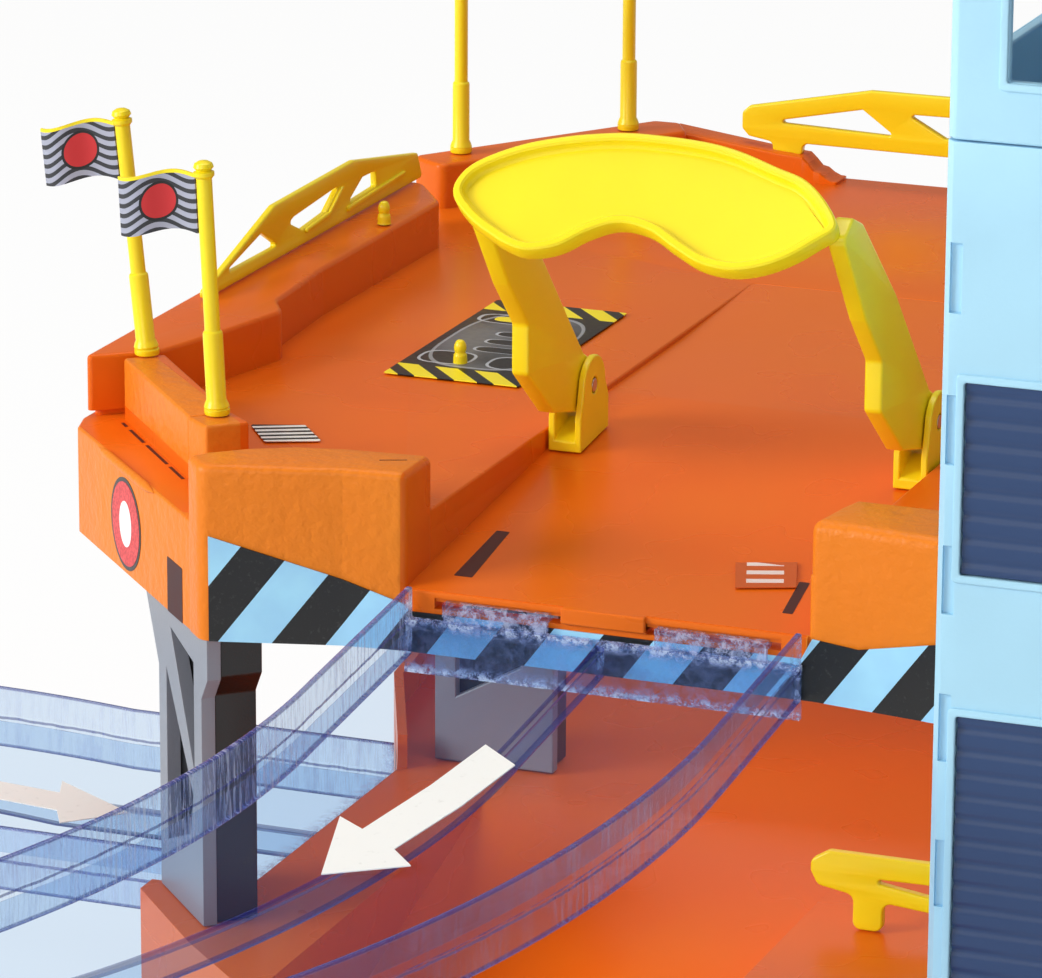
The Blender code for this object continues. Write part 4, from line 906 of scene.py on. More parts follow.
def build_deck():
    """Hollow deck moulding: its skirt, ledge and floor round the sunken lane."""
    part = Form()
    edge = sizes().floor_edge
    skirt = with_lane(deck_edge())
    front_end = (skirt == OUTER_FACE[1]).all(axis=1)
    outer, corner = oriented(skirt, np.where(front_end, 0.0032, 0.0014))
    foot = 0.0004
    wall = [(SKIN, LEDGE - SKIN), (SKIN, DECK_BOTTOM + foot), (SKIN - foot, DECK_BOTTOM),
            (foot, DECK_BOTTOM), (0.0, DECK_BOTTOM + foot)]
    part.grid(rings(outer, corner, np.vstack((wall, rounding(edge, LEDGE)))))
    floor = np.vstack((deck_edge()[:-4], mm((-141.5, 60.2), (-131.5, 68), (-128.5, 61.5),
                                            (-95, 20), (-89, 0), (-84, -6), (-56, -0.6))))
    part.block(with_lane(floor, -0.00004), LEDGE - 0.0018, DECK_FLOOR, edge, 0.0016)
    rib = mm((-129.5, 39.3), (-104.4, 12.3))
    path = rib[0] + np.linspace(0.0, 1.0, 14)[:, None] * (rib[1] - rib[0])
    round_end = np.concatenate(([0.0001, 0.0007], np.full(10, 0.0010), [0.0007, 0.0001]))
    part.tube(np.column_stack((path, np.full(14, LEDGE - 0.0004))), round_end, 12)
    part.piece("deck_moulding", "orange", "frame", "upper_deck")


def left_block(part, size):
    """Front block left of the lane, level on top, with a wide rounding at the deck's corner."""
    outline = mm((-89.6, -3.6), (-84.2, -9.65), (-56, -1.65), (-42.9, -0.15), (-42.9, 15.2),
                 (-61.6, 13.6), (-72, 11), (-80.4, 6.2), (-86.8, 0.5))
    corner = np.full(len(outline), size.block_corner)
    corner[1] = 0.0034
    corner[5:8] = 0.006
    part.block(outline, DECK_BOTTOM + 0.0001, WALL_TOP, size.block_edge, corner, under=0.0003)


def right_block(part, size):
    """Front block right of the lane, cut at a slant against the tower."""
    reach = TOWER_LEFT - 2.0 * CLEAR
    outline = np.vstack((mm((42.9, -0.15), (50, -0.8)), [(reach, -0.0041), (reach, 0.018)],
                         mm((46.3, 18.2), (44.7, 11.6))))
    corner = np.full(len(outline), size.block_corner)
    corner[1] = 0.006
    part.block(outline, DECK_BOTTOM + 0.0001, WALL_TOP, size.block_edge * 1.6, corner,
               under=0.0003)


def build_walls():
    """Front blocks, flag wall, side walls and the stepped wall at the back."""
    part = Form()
    size = sizes()
    left_block(part, size)
    right_block(part, size)
    low = DECK_FLOOR - 0.0012
    edge, foot = size.wall_edge, size.floor_fillet
    flag_wall = mm((-101.3, 23.2), (-94.2, 29.2), (-126.2, 66.7), (-133.2, 60.3))
    flag_end = mm((-101.2, 22.6), (-94.6, 17.2), (-87.6, 24.0), (-94.0, 29.6))
    for outline in (flag_wall, flag_end):
        part.block(outline, LEDGE - 0.001, WALL_TOP, 0.0007, 0.0007)
    side = mm((-141.9, 58.5), (-128.5, 69.5), (-123, 88.6), (-117.7, 111), (-122.5, 119),
              (-124.5, 150), (-124, 220), (-141.9, 246.7))
    soft = np.full(len(side), 0.006)
    soft[:2] = 0.0010
    part.block(side, low, WALL_TOP, edge, soft)
    diagonal = mm((-148.3, 262), (-138, 255), (-94.6, 313), (-99.4, 321.9), (-106.4, 321.8))
    behind = (TOWER_BACK + 0.006) * 1000.0
    rim = mm((136.9, behind), (136.9, 239.9), (74.9, 324.9), (52, 324.9), (52, 318.5),
             (71.7, 318.5), (130.5, 238), (130.5, behind))
    for outline in (diagonal, rim):
        part.block(outline, low, WALL_TOP, edge, 0.0025, foot)
    steps = mm((-101, 0.7), (-72, 4.4), (-64.5, 5.0), (-62.9, 8.0), (-60.2, 8.6), (-58.4, 10.4),
               (-56, 10.5))

    def falling(x):
        """The wall's top, which falls in rounded steps to the right."""
        return WALL_TOP - np.interp(x, steps[:, 0], steps[:, 1])

    knots = np.linspace(steps[0, 0], steps[-1, 0], 30)
    back = np.vstack((np.column_stack((knots, np.full(30, DECK_BACK - 0.0085))),
                      np.column_stack((knots[::-1], np.full(30, DECK_BACK - 0.0001)))))
    part.block(back, low, WALL_TOP, edge, 0.002, top=falling)
    part.piece("deck_walls", "orange", "frame", "upper_deck")


def outer_line():
    """Back end and heading of the deck's left outer face, seen from above."""
    start, end = OUTER_FACE
    return start, (end - start) / np.linalg.norm(end - start)


def face_plate(part, outline, out):
    """A thin plate on the outer face.

    Its outline gives the distance from the face's back end and the height over the lip; a point
    is the back end plus that distance along the heading, and the front is out from the face.
    """
    start, heading = outer_line()
    away = np.array([heading[1], -heading[0]])
    outline = counter_clockwise(outline)
    flat = start + outline[:, :1] * heading
    part.grid(np.array([np.column_stack((flat + depth * away, LIP + outline[:, 1]))
                        for depth in (out, 0.0)]))


def build_marks():
    """Plain oval badge, and dark sheets of painted shade for the slots of the outer face and of the
    ledge above it.
    """
    middle = mm(33.34, -2.2)
    angle = np.linspace(0.0, 2.0 * math.pi, 48, endpoint=False)
    circle = np.column_stack((np.cos(angle), np.sin(angle)))
    for name, finish, half, out in (("badge_rim", "black", mm(10.0, 10.0), 0.00012),
                                    ("badge_field", "red", mm(9.1, 9.1), 0.00018),
                                    ("badge_spot", "white", mm(4.0, 5.0), 0.00024)):
        badge = Form()
        face_plate(badge, middle + half * circle, out)
        badge.piece(name, finish, "frame")
    # Painted shade: thin dark sheets where the slots and the nick in the wall top lie.
    dark = Form()
    slot = mm((60.8, -13.2), (70.5, -13.2), (70.5, -1.4), (60.8, -1.4))
    face_plate(dark, fillet_outline(slot, 0.0003), 0.00008)
    start, end = mm((-132.3, 57.4), (-102.4, 22.8))
    reach = end - start
    side = np.array([-reach[1], reach[0]]) / np.linalg.norm(reach) * 0.00035
    for first, last in ((0.0, 0.07), (0.13, 0.36), (0.41, 0.74), (0.79, 1.0)):
        a, b = start + reach * first, start + reach * last
        corners = np.array([a + side, a - side, b - side, b + side])
        dark.grid(level_rings(corners, LEDGE - 0.0002, LEDGE + 0.00007))
    nick = mm((-51.6, 7.2), (-46.4, 9.4), (-46.5, 9.75), (-51.7, 7.6))
    dark.grid(level_rings(nick, WALL_TOP - 0.0003, WALL_TOP + 0.00006))
    dark.piece("outer_slot_shade", "slot_shade", "frame")


def build_lane():
    """Sunken exit lane: its bed, dark sheets of painted shade for the slots beside the wheels, and
    the lip with its tab.
    """
    part = Form()
    knee = (LANE_FLAT - LIP) / LANE_GRADE
    y = np.concatenate(([0.0004], np.linspace(0.002, knee, 12), [knee + 0.002],
                        np.linspace(LANE_END - LANE_RISE, LANE_END, 5)))
    x = np.linspace(-LANE_HALF - 0.0004, LANE_HALF + 0.0004, 9)
    upper = np.stack(np.broadcast_arrays(x, y[:, None], lane_height(y)[:, None]), axis=2)
    part.grid(np.concatenate((upper, upper[:, ::-1] - (0.0, 0.0, SKIN)), axis=1))
    face, base, top = -0.0002, DECK_BOTTOM + 0.0004, LIP + 0.0004
    soft = 0.0007

    def lip_block(low, high, section):
        """A section of Y and Z carried from one X to another."""
        part.grid(carried(np.linspace(low, high, 3), np.array(section)))

    def nose(start):
        """The lip's section, from a height up and round its front edge."""
        return [(face, start), (face, LIP - soft), (face + soft * 0.4, LIP - soft * 0.3),
                (soft, LIP), (0.0040, top), (0.0040, start)]

    for low, high in mm((-42.9, -36.5), (-9.0, 9.0), (37.5, 42.9)):
        lip_block(low, high, nose(base))
    for low, high in mm((-36.5, -9.0), (9.0, 37.5)):
        under = LIP - 0.0036
        lip_block(low, high, nose(LIP - 0.0013))
        lip_block(low, high, [(face, base), (face, under), (0.0030, under), (0.0030, base)])
    tab = mm((-9, -3.3), (9, -3.3), (9, 0.05), (-9, 0.05)) + (0.0, LIP)
    part.slab(tab, -0.0012, 0.003, 0.0004, 0.0004, "XZ")
    part.piece("exit_lane", "orange", "frame", "upper_deck")

    # Painted shade: thin dark sheets that stand for the slots beside the wheels.
    dark = Form()
    for slot in (mm((-36, 9), (-32, 9), (-33.5, 34), (-36.4, 34)),
                 mm((34.2, 9.8), (36.4, 9.8), (34.6, 26), (32.4, 26))):
        ring = fillet_outline(counter_clockwise(slot), 0.0003)
        level = lane_height(ring[:, 1]) + 0.00006
        dark.grid(level_rings(ring, level - 0.0008, level))
    dark.piece("lane_slot_shade", "slot_shade", "frame", "upper_deck")


# Lower deck, pillars and the tower

def build_lower_deck():
    """The lower deck keeps its solid's shape, with its edges rounded."""
    softened("lower_deck", "orange", "frame", sizes().floor_edge)


def build_pillars():
    """Each pillar is a grey lattice face on a black core."""
    for place in ("front", "middle", "back_left", "back_right"):
        for layer, finish in (("frame", "grey"), ("core", "black")):
            softened("pillar_%s_%s" % (place, layer), finish, "frame", sizes().small_edge)


def build_tower():
    """Tower mouldings, with slatted panels and raised frames."""
    for part, finish in (("body", "tower"), ("head", "tower"), ("roof", "dark_blue")):
        softened("lift_tower_" + part, finish, "frame", sizes().tower_edge)
    for name in ("tower_panel_low", "tower_panel_high"):
        build_shutter(name)
    build_trim()


def build_shutter(name):
    """A dark panel with rounded slats: its section is a raised cosine, carried across."""
    low, high = node_low(name), node_high(name)
    slats = round((high[2] - low[2]) / 0.0047)
    t = np.linspace(0.0, 1.0, slats * 12 + 1)
    groove = 0.0005 * (0.5 - 0.5 * np.cos(2.0 * math.pi * slats * t)) ** 3
    rise = low[2] + (high[2] - low[2]) * t
    front = np.column_stack((low[1] + groove, rise))
    back = np.column_stack((np.full(len(t), high[1]), rise[::-1]))
    part = Form()
    part.grid(carried(np.linspace(low[0], high[0], 3), np.vstack((front, back))))
    part.piece(name + "_slats", "dark_blue", "frame", name, angle=50.0)


def build_turned(node, body, along, profile, rows, sides, **ridges):
    """A smooth profile of radius and height turned about the middle of its solid, along an axis."""
    base = node_middle(node)
    base[along] = node_low(node)[along]
    part = Form()
    part.turned(spline(profile, rows, closed=False), base, np.eye(3)[along], sides, **ridges)
    part.piece(node + "_turned", "yellow", body, node)


def rectangle(left, low, right, high, out):
    """Four corners, moved outwards."""
    return np.array([(left - out, low - out), (right + out, low - out),
                     (right + out, high + out), (left - out, high + out)])


def build_trim():
    """Raised frames round the tower's panels, windows and doors, and a ring round the crank."""
    part = Form()
    proud, wide, hair = 0.0006, 0.0018, 0.0002

    def framed(plane, face, outward, inner):
        """A flat frame round an opening, a little proud of the face that it lies on."""
        low, high = sorted((face + outward * proud, face - outward * hair))
        part.slab(rectangle(*inner, wide), low, high, 0.0003, 0.0010, plane,
                  [rectangle(*inner, hair)], 0.0006)

    for name in ("tower_panel_low", "tower_panel_high"):
        low, high = node_low(name), node_high(name)
        framed("XZ", TOWER_FRONT, -1.0, (low[0], low[2], high[0], high[2]))
    base, top = node_low("lift_tower_head")[2] + 0.012, node_high("lift_tower_head")[2] - 0.010
    for plane, faces, inner in (("XZ", (TOWER_FRONT, TOWER_BACK),
                                 (TOWER_LEFT + 0.012, base, TOWER_RIGHT - 0.012, top)),
                                ("YZ", (TOWER_LEFT, TOWER_RIGHT),
                                 (TOWER_FRONT + 0.020, base, TOWER_BACK - 0.020, top))):
        for face, outward in zip(faces, (-1.0, 1.0)):
            framed(plane, face, outward, inner)
    left, right = node_low("lift_cabin")[0], node_high("lift_cabin")[0]
    for floor in (LOWER_FLOOR, DECK_FLOOR):
        low, high = floor + 0.0004, floor + DOOR_HEIGHT
        arch = np.array([(left - wide, low), (left - hair, low), (left - hair, high),
                         (right + hair, high), (right + hair, low), (right + wide, low),
                         (right + wide, high + wide), (left - wide, high + wide)])
        part.slab(arch, TOWER_BACK - hair, TOWER_BACK + proud, 0.0003, 0.0003, "XZ")
    for low, high in ((0.014, 0.084), (0.156, 0.204)):
        framed("YZ", TOWER_RIGHT, 1.0, (TOWER_FRONT + 0.010, low, TOWER_BACK - 0.010, high))
    turn = np.linspace(0.0, 2.0 * math.pi, 48, endpoint=False)
    middle = node_middle("crank_knob")[1:]
    ring = np.column_stack((np.cos(turn), np.sin(turn)))
    part.slab(middle + 0.0190 * ring, TOWER_RIGHT - hair, TOWER_RIGHT + proud, 0.0003, hair,
              "YZ", [middle + 0.0160 * ring], hair)
    part.piece("tower_trim", "tower", "frame")


def build_lift():
    """Cabin and rack in the shaft, and the crank on the tower's side."""
    softened("lift_cabin", "pale_grey", "cabin", sizes().small_edge)
    softened("lift_rack", "black", "cabin", 0.00015, segments=2)
    softened("crank_shaft", "black", "crank", 0.00015, segments=2)
    size = node_high("crank_knob") - node_low("crank_knob")
    tall, radius = size[0], size[2] / 2.0
    knob = [(0.0, 0.0), (radius * 0.80, 0.0), (radius * 0.985, 0.0012),
            (radius * 0.985, 0.0038), (radius * 0.93, 0.0052), (radius * 0.84, tall),
            (radius * 0.76, 0.0052), (radius * 0.45, 0.0048), (radius * 0.30, 0.0056),
            (0.0, 0.0058)]
    build_turned("crank_knob", "crank", 0, knob, 34, 96, ridges=24, depth=0.012)
    tall = node_high("crank_grip")[0] - node_low("crank_grip")[0]
    grip = [(0.0, 0.0), (0.0027, 0.0), (0.0029, 0.0008), (0.0025, 0.0045), (0.0026, 0.0080),
            (0.0031, 0.0105), (0.0029, 0.0124), (0.0018, tall - 0.0003), (0.0, tall)]
    build_turned("crank_grip", "crank", 0, grip, 40, 40)


# Gate

def tray_shape():
    """Kidney outline of the tray in its own plane, smooth and evenly spaced."""
    points = mm((-42.1, -3.8), (-37.5, -8.6), (-32.2, -11.9), (-27.3, -14.2), (-22.8, -14.9),
                (-16.8, -13.1), (-11.5, -9.1), (-5.7, -6.6), (0.9, -7.6), (7.2, -11.1),
                (13.2, -14), (19.7, -14.9), (25.7, -13.6), (31.2, -10.6), (35.9, -6.5),
                (39.2, -2.7), (36, 2.6), (30.5, 7.4), (23.9, 9.8), (14.7, 12.9), (5.8, 14.4),
                (-7.2, 14.8), (-15.6, 13.9), (-23.7, 12.1), (-31.7, 9.3), (-39.1, 4.9),
                (-42.2, 0.6))
    return resampled(spline(points, 400), 220)


def on_tray(points):
    """From the tray's own plane, which leans back, to the model: a turn about X and a move."""
    c, s = math.cos(TRAY_LEAN), math.sin(TRAY_LEAN)
    x, up, out = np.moveaxis(points, -1, 0)
    return np.stack((x, PIVOT[0] + TRAY_AT[0] + c * up - s * out,
                     PIVOT[1] + TRAY_AT[1] + s * up + c * out), axis=-1)


def build_tray(part):
    """Dish with a rolled rim: its outline is carried over a rim profile of inset and height."""
    shape = tray_shape()
    rim = sizes().tray_rim
    low, top, floor = -0.0024, 0.0022, 0.0
    outside = mm((2.6, low * 1000), (0.9, low * 1000), (0.25, -2.1), (0.0, -1.4), (0.0, 1.2),
                 (0.12, 1.8), (0.5, 2.15), (1.0, top * 1000))
    inside = [(rim * 0.80, top), (rim * 1.02, top - 0.0004), (rim * 1.10, 0.0008),
              (rim * 1.30, 0.0002), (rim * 1.45, floor)]
    part.grid(on_tray(np.array([np.column_stack((smooth_inset(shape, inset),
                                                 np.full(len(shape), height)))
                                for inset, height in np.vstack((outside, inside))])))


def arm_shape():
    """Side view of an arm from the eye at its pin up to the tray, as Y and Z from the pin."""
    angle = np.radians(np.linspace(250.0, 440.0, 12))
    eye = 0.0060 * np.column_stack((np.cos(angle), np.sin(angle)))
    back = mm((-2, 7.5), (-26.5, 33.8), (-49.5, 53.8), (-56.0, 56.4))
    front = mm((-62.0, 53.0), (-46, 32.6), (-35, 21.5), (-35, 10.7), (-19.6, -1.4), (-12, -3.2))
    return np.vstack((eye, back, front)) + PIVOT


def build_gate():
    """Tray and arms in one piece, the two brackets that hold the pins, and the pins."""
    part = Form()
    build_tray(part)
    ear = 0.0018
    brackets = ("gate_bracket_left", "gate_bracket_right")
    for name in brackets:
        part.slab(arm_shape(), node_low(name)[0] + ear, node_high(name)[0] - ear, 0.0006, 0.0018)
    part.piece("gate_moulding", "yellow", "gate", "exit_gate")
    for name in brackets:
        softened(name, "yellow", "frame", sizes().small_edge)
    for name in ("gate_pin_left", "gate_pin_right"):
        softened(name, "steel", "gate", 0.0002, segments=2)


# Ramp

def ramp_runs():
    """Lengths of the ramp's straights and bends, the second bend's radius and its centre."""
    first_x = -RAMP_WIDE * (1.0 - math.cos(RAMP_TURN))
    first_y = -RAMP_LEAD - RAMP_WIDE * math.sin(RAMP_TURN)
    radius = (RAMP_ARRIVAL - first_y) / (1.0 + math.sin(RAMP_TURN))
    centre = (first_x - radius * math.cos(RAMP_TURN), first_y + radius * math.sin(RAMP_TURN))
    bend = radius * (math.radians(270.0) - RAMP_TURN)
    tail = ARRIVAL_EDGE - CLEAR - centre[0]
    return (RAMP_LEAD, RAMP_WIDE * RAMP_TURN, bend, tail), radius, centre


def ramp_line(run):
    """Place and heading of the ramp's middle after each run: straight, wide arc, arc, straight."""
    (lead, wide, bend, _), radius, centre = ramp_runs()
    south = math.radians(270.0)
    a = np.clip((run - lead) / RAMP_WIDE, 0.0, RAMP_TURN)
    b = RAMP_TURN + np.clip((run - lead - wide) / radius, 0.0, bend / radius)
    late = run > lead + wide
    x = np.where(late, centre[0] + radius * np.cos(b), RAMP_WIDE * (np.cos(a) - 1.0))
    y = np.where(late, centre[1] - radius * np.sin(b),
                 -np.minimum(run, lead) - RAMP_WIDE * np.sin(a))
    heading = south - np.where(late, b, a)
    x = x + np.maximum(run - lead - wide - bend, 0.0)
    return x, y, heading


def bed_height(run):
    """The bed falls evenly to the level straight at the end."""
    start = LIP - RAMP_DROP
    fall = sum(ramp_runs()[0][:3])
    return start + (RAMP_LEVEL - start) * np.minimum(run / fall, 1.0)


def on_ramp(run, across, above):
    """Places beside the ramp's middle line, square to its heading, and above its bed."""
    x, y, heading = ramp_line(run)
    return np.stack((x - across * np.sin(heading), y + across * np.cos(heading),
                     bed_height(run) + above), axis=-1)


def build_ramp():
    """Two clear channels: one cross section with rounded edges carried along the line."""
    out, inner = RAMP_HALF, RAMP_HALF - KERB
    rib = 0.0007
    right = [(rib, -BED), (inner, -BED), (inner, -SKIRT), (out, -SKIRT), (out, -0.0008),
             (out, KERB_UP), (inner, KERB_UP), (inner, 0.0)]
    left = [(-u, w) for u, w in right[::-1]]
    section = np.array([(rib, -SKIRT)] + right + left + [(-rib, -SKIRT)])
    u, w = fillet_outline(counter_clockwise(section), 0.00042, steps=3).T
    total = sum(ramp_runs()[0])
    spans = (("ramp_upper_clear", 0.0016, RAMP_SPLIT, "ramp_upper"),
             ("ramp_lower_clear", RAMP_SPLIT + CLEAR, total, "ramp_lower"))
    for name, start, end, node in spans:
        part = Form()
        runs = np.linspace(start, end, int((end - start) / 0.0035))
        ends = np.minimum(runs - start, end - runs) < 0.0012
        # The cut ends of each channel carry frost and painted glint.
        frost, run, side, rise = np.broadcast_arrays(ends[:, None] * 0.6, runs[:, None], u, w)
        part.grid(on_ramp(run, side, rise), frost=frost, side=side, run=run, rise=rise)
        if node == "ramp_upper":
            build_flange(part)
        part.piece(name, "ramp", "frame", node)
    for name in ("ramp_post_left", "ramp_post_right"):
        softened(name, "pale_grey", "frame", sizes().small_edge)


def edge_frost_and_glint(depth):
    """Frost and painted glint that fade within 2 mm of an edge."""
    return np.clip(1.15 - depth / 0.0020, 0.12, 1.0)


def build_flange(part):
    """Plate that hangs from the lip over the front band, with its two hooks."""
    top = float(bed_height(np.array(0.0))) - 0.0006
    face = -0.00095
    low = DECK_BOTTOM - 0.0034
    rows = np.linspace(low, top, 14)
    back = np.column_stack((np.full(14, face), rows))
    front = np.column_stack((np.full(14, face - 0.0015), rows[::-1]))
    grid = carried(np.linspace(-RAMP_HALF, RAMP_HALF, 60), np.vstack((back, front)))
    across, _, height = np.moveaxis(grid, -1, 0)
    level = np.zeros(height.shape)
    # Frost and painted glint, strongest along the plate's top and bottom edges.
    part.grid(grid, frost=edge_frost_and_glint(np.minimum(top - height, height - low)), side=level,
              run=across, rise=level)
    tongue = LIP - 0.0033
    for start, end in mm((-34, -11.5), (11.5, 35)):
        hook = np.array([(face - 0.0013, top - 0.0004), (face - 0.0002, top - 0.0004),
                         (face - 0.0002, tongue), (0.0015, tongue), (0.0015, LIP - 0.0017),
                         (face - 0.0013, LIP - 0.0017)])
        ring = fillet_outline(counter_clockwise(hook), 0.0004, steps=3)
        grid = carried(np.linspace(start, end, 20), ring)
        level = np.zeros(grid.shape[:2])
        # The hooks carry frost and painted glint all over.
        part.grid(grid, frost=level + 0.55, side=level, run=grid[..., 0], rise=level)


# Poles, flags, rails and pegs

def leaning(points, foot, lean):
    """Points about an upright pole's foot, leaned to the left by an angle."""
    c, s = math.cos(lean), math.sin(lean)
    x, y, z = np.moveaxis(points, -1, 0)
    return np.stack((x * c - z * s, y, x * s + z * c), axis=-1) + foot


def build_flags():
    """Ball-topped poles, each a turned profile that leans, with a cup at its foot and a flag."""
    radius = sizes().pole_radius
    tall, sides = 0.0538, 28
    neck, ball = tall - 0.0038, radius + 0.00055
    profile = np.array([
        (0.0, 0.0012), (0.0026, 0.0012), (0.0027, 0.0015), (0.0024, 0.0024), (0.0021, 0.0030),
        (0.0021, 0.0169), (0.00202, 0.0174), (radius, 0.0178), (radius, neck),
        (ball, neck + 0.0006), (ball, neck + 0.0014), (radius * 0.92, neck + 0.0017),
        (ball * 0.98, neck + 0.0024), (ball * 0.86, neck + 0.0032), (ball * 0.45, neck + 0.00372),
        (0.0, tall)])
    cup = [(0.0, 0.0), (0.0026, 0.0), (0.0027, 0.0003), (0.0027, 0.0012), (0.0022, 0.0017),
           (0.0, 0.0018)]
    angle = np.linspace(0.0, 2.0 * math.pi, sides, endpoint=False)
    out, up = profile[:, :1], profile[:, 1:]
    upright = np.stack(np.broadcast_arrays(out * np.cos(angle), out * np.sin(angle), up), axis=2)
    spots = mm((-96, 26.2), (-129.6, 64.5), (-138.1, 269), (-108.7, 308.6))
    leans = np.radians((2.8, 5.8, 0.0, 0.0))
    for index, (spot, lean) in enumerate(zip(spots, leans), 1):
        node = "flag_pole_%d" % index
        base = np.append(spot, node_low(node)[2])
        foot = base + (0.0, 0.0, 0.0027 * math.sin(lean))
        pole = Form()
        pole.grid(leaning(upright, foot, lean))
        pole.turned(cup, base, sides=sides)
        pole.piece(node + "_turned", "yellow", "frame", node)
        build_flag("flag_%d" % index, foot, lean, tall - 0.0030, radius)


def build_flag(node, foot, lean, top, radius):
    """A sheet of even thickness that waves: its Y is a sine that grows away from the pole."""
    long, tall, half = 0.0175, 0.0125, 0.0004
    t = np.linspace(0.0, 1.0, 48)[:, None]
    v = np.linspace(0.0, 1.0, 13)
    wave = 0.0019 * np.sin(2.0 * math.pi * t) * (0.35 + 0.65 * t)
    drop = 0.0008 * np.sin(1.6 * math.pi * t) - 0.0004 * t
    front = np.stack(np.broadcast_arrays(-radius - CLEAR - long * t, wave - half,
                                         top - tall + drop + tall * v), axis=2)
    grid = np.concatenate((front, front[:, ::-1] + (0.0, 2.0 * half, 0.0)), axis=1)
    along, up = np.broadcast_arrays(t, np.concatenate((v, v[::-1])))
    flag = Form()
    flag.grid(leaning(grid, foot, lean), along=along, up=up)
    flag.piece(node + "_waved", "flag", "frame", node)


def rail_plate(name, plane, edge, corner, outline, windows, ribs=(), rib=0.0):
    """A flat rail in its solid's place: windows go through it and ribs stand on its front."""
    axis = 0 if plane == "YZ" else 1
    back, front = node_low(name)[axis], node_high(name)[axis]
    part = Form()
    part.slab(outline, back, front - rib, edge, corner, plane, windows)
    for shape in ribs:
        part.slab(shape, front - rib - 0.0003, front, 0.0003, 0.0005, plane)
    part.piece(name + "_pierced", "yellow", "frame", name)


def over_lip(*points):
    """An upright outline in millimetres whose heights count from the lip."""
    return mm(*points) + (0.0, LIP)


def build_rails():
    """Flat railings with slanted windows, laid out by height over the lip, and the two pegs."""
    left = over_lip((112, 24.3), (240.6, 24.3), (237.5, 30.9), (198.1, 37.55), (150.8, 37.2),
                    (112, 26.2))
    windows = [over_lip((121, 27.5), (153, 27.3), (143.5, 32.4)),
               over_lip((159, 31.2), (167, 27.8), (181, 28.8), (189.5, 33.6), (162, 32.0)),
               over_lip((193.5, 27.9), (211.5, 28.4), (211, 32.2), (203, 32.4))]
    ribs = [over_lip((193, 26.2), (228, 27.5), (228.5, 28.6), (193, 27.5)),
            over_lip((168, 26.8), (182.5, 27.8), (190.5, 32.9), (189.4, 33.2), (181.7, 28.8),
                     (168, 27.8))]
    rail_plate("railing_left", "YZ", 0.0004, 0.0009, left, windows, ribs, 0.0007)
    foot = (node_low("railing_back")[2] - LIP) * 1000.0
    back = over_lip((-82.3, 24.5), (-80.5, 22.6), (-74.2, 21.6), (-74.0, 18.6), (-66.3, 18.6),
                    (-66.1, 21.8), (10, 21.4), (10, foot), (18, foot), (18, 22), (26, 24),
                    (26, 31), (18, 36.75), (-48.7, 36.75), (-80.5, 30.3), (-82.3, 28.6))
    windows = [over_lip((-75.2, 26.7), (-42, 25.7), (-50.6, 31.8)),
               over_lip((-39, 31.6), (-29, 26.2), (-12, 26.0), (-4, 31.9)),
               over_lip((-1, 31.6), (9, 26.0), (20, 26.4), (20, 32.0))]
    rail_plate("railing_back", "XZ", 0.0005, 0.0014, back, windows)
    foot = (node_low("railing_lower")[2] - LIP) * 1000.0
    top = (node_high("railing_lower")[2] - LIP) * 1000.0 - 0.05
    lower = over_lip((29.6, -66.0), (31.2, -69.0), (39, -70.3), (39, foot), (45.5, foot),
                     (45.5, -71.2), (62, -72.6), (62, foot), (67, foot), (67, top), (33.4, top),
                     (29.6, -63.6))
    rail_plate("railing_lower", "XZ", 0.0005, 0.0018, lower,
               [over_lip((38.6, -66.3), (62, -69.6), (62, -65.9))])
    for name in ("stop_peg_pad", "stop_peg_wall"):
        tall = node_high(name)[2] - node_low(name)[2]
        peg = [(0.0, 0.0), (0.00155, 0.0), (0.0016, 0.0004), (0.0015, 0.0020),
               (0.0012, 0.0026), (0.0014, 0.0034), (0.0013, 0.0044), (0.0008, tall - 0.0002),
               (0.0, tall)]
        build_turned(name, "frame", 2, peg, 30, 28)


# Labels

def build_band():
    """Striped band that follows the facets of the front edge, a hair in front of them."""
    rise = mm((-82.3, 9.1), (-56, 0.9), (-43, -3.3), (-41.8, -4.6), (41.8, -4.6), (44, -0.3),
              (54, -0.9), (72.1, 3.2))
    x = np.unique(np.concatenate((np.linspace(rise[0, 0], rise[-1, 0], 40), rise[:, 0])))
    front = mm((-84, -9.5), (-56, -1.5), (-43, 0), (46, 0), (72.7, -4))
    y = np.interp(x, front[:, 0], front[:, 1])
    y = np.where(x > 0.046, np.minimum(y, -0.0008 - 0.15 * (x - 0.050)), y)
    top = LIP + np.interp(x, rise[:, 0], rise[:, 1])
    low = np.full(len(x), DECK_BOTTOM + CLEAR)
    near = y - 0.00036
    far = near - 0.00025
    corners = ((near, low), (far, low), (far, top), (near, top))
    part = Form()
    part.grid(np.stack([np.column_stack((x, *corner)) for corner in corners], axis=1))
    part.piece("band_print", "band", "frame", "label_fascia")


def flat_label(name, node, finish, outline):
    """A thin print with rounded corners, as thick as its solid."""
    part = Form()
    part.slab(outline, node_low(node)[2], node_high(node)[2], 0.00008, 0.0006, "XY")
    part.piece(name, finish, "frame", node)


def build_labels():
    """The front band, two flat prints, and three that keep their solids' outlines."""
    build_band()
    flat_label("lift_pad_print", "label_pad", "pad",
               mm((-92, 107), (-60, 107), (-60, 176), (-92, 176)))
    flat_label("grille_print", "label_stripes", "grille",
               mm((-94, 46), (-83, 51), (-91, 61), (-102, 57)))
    for node, finish in (("label_exit", "lane"), ("label_arrow_upper", "white"),
                         ("label_arrow_lower", "white")):
        softened(node, finish, "frame", 0.00004, segments=1)


# Stage

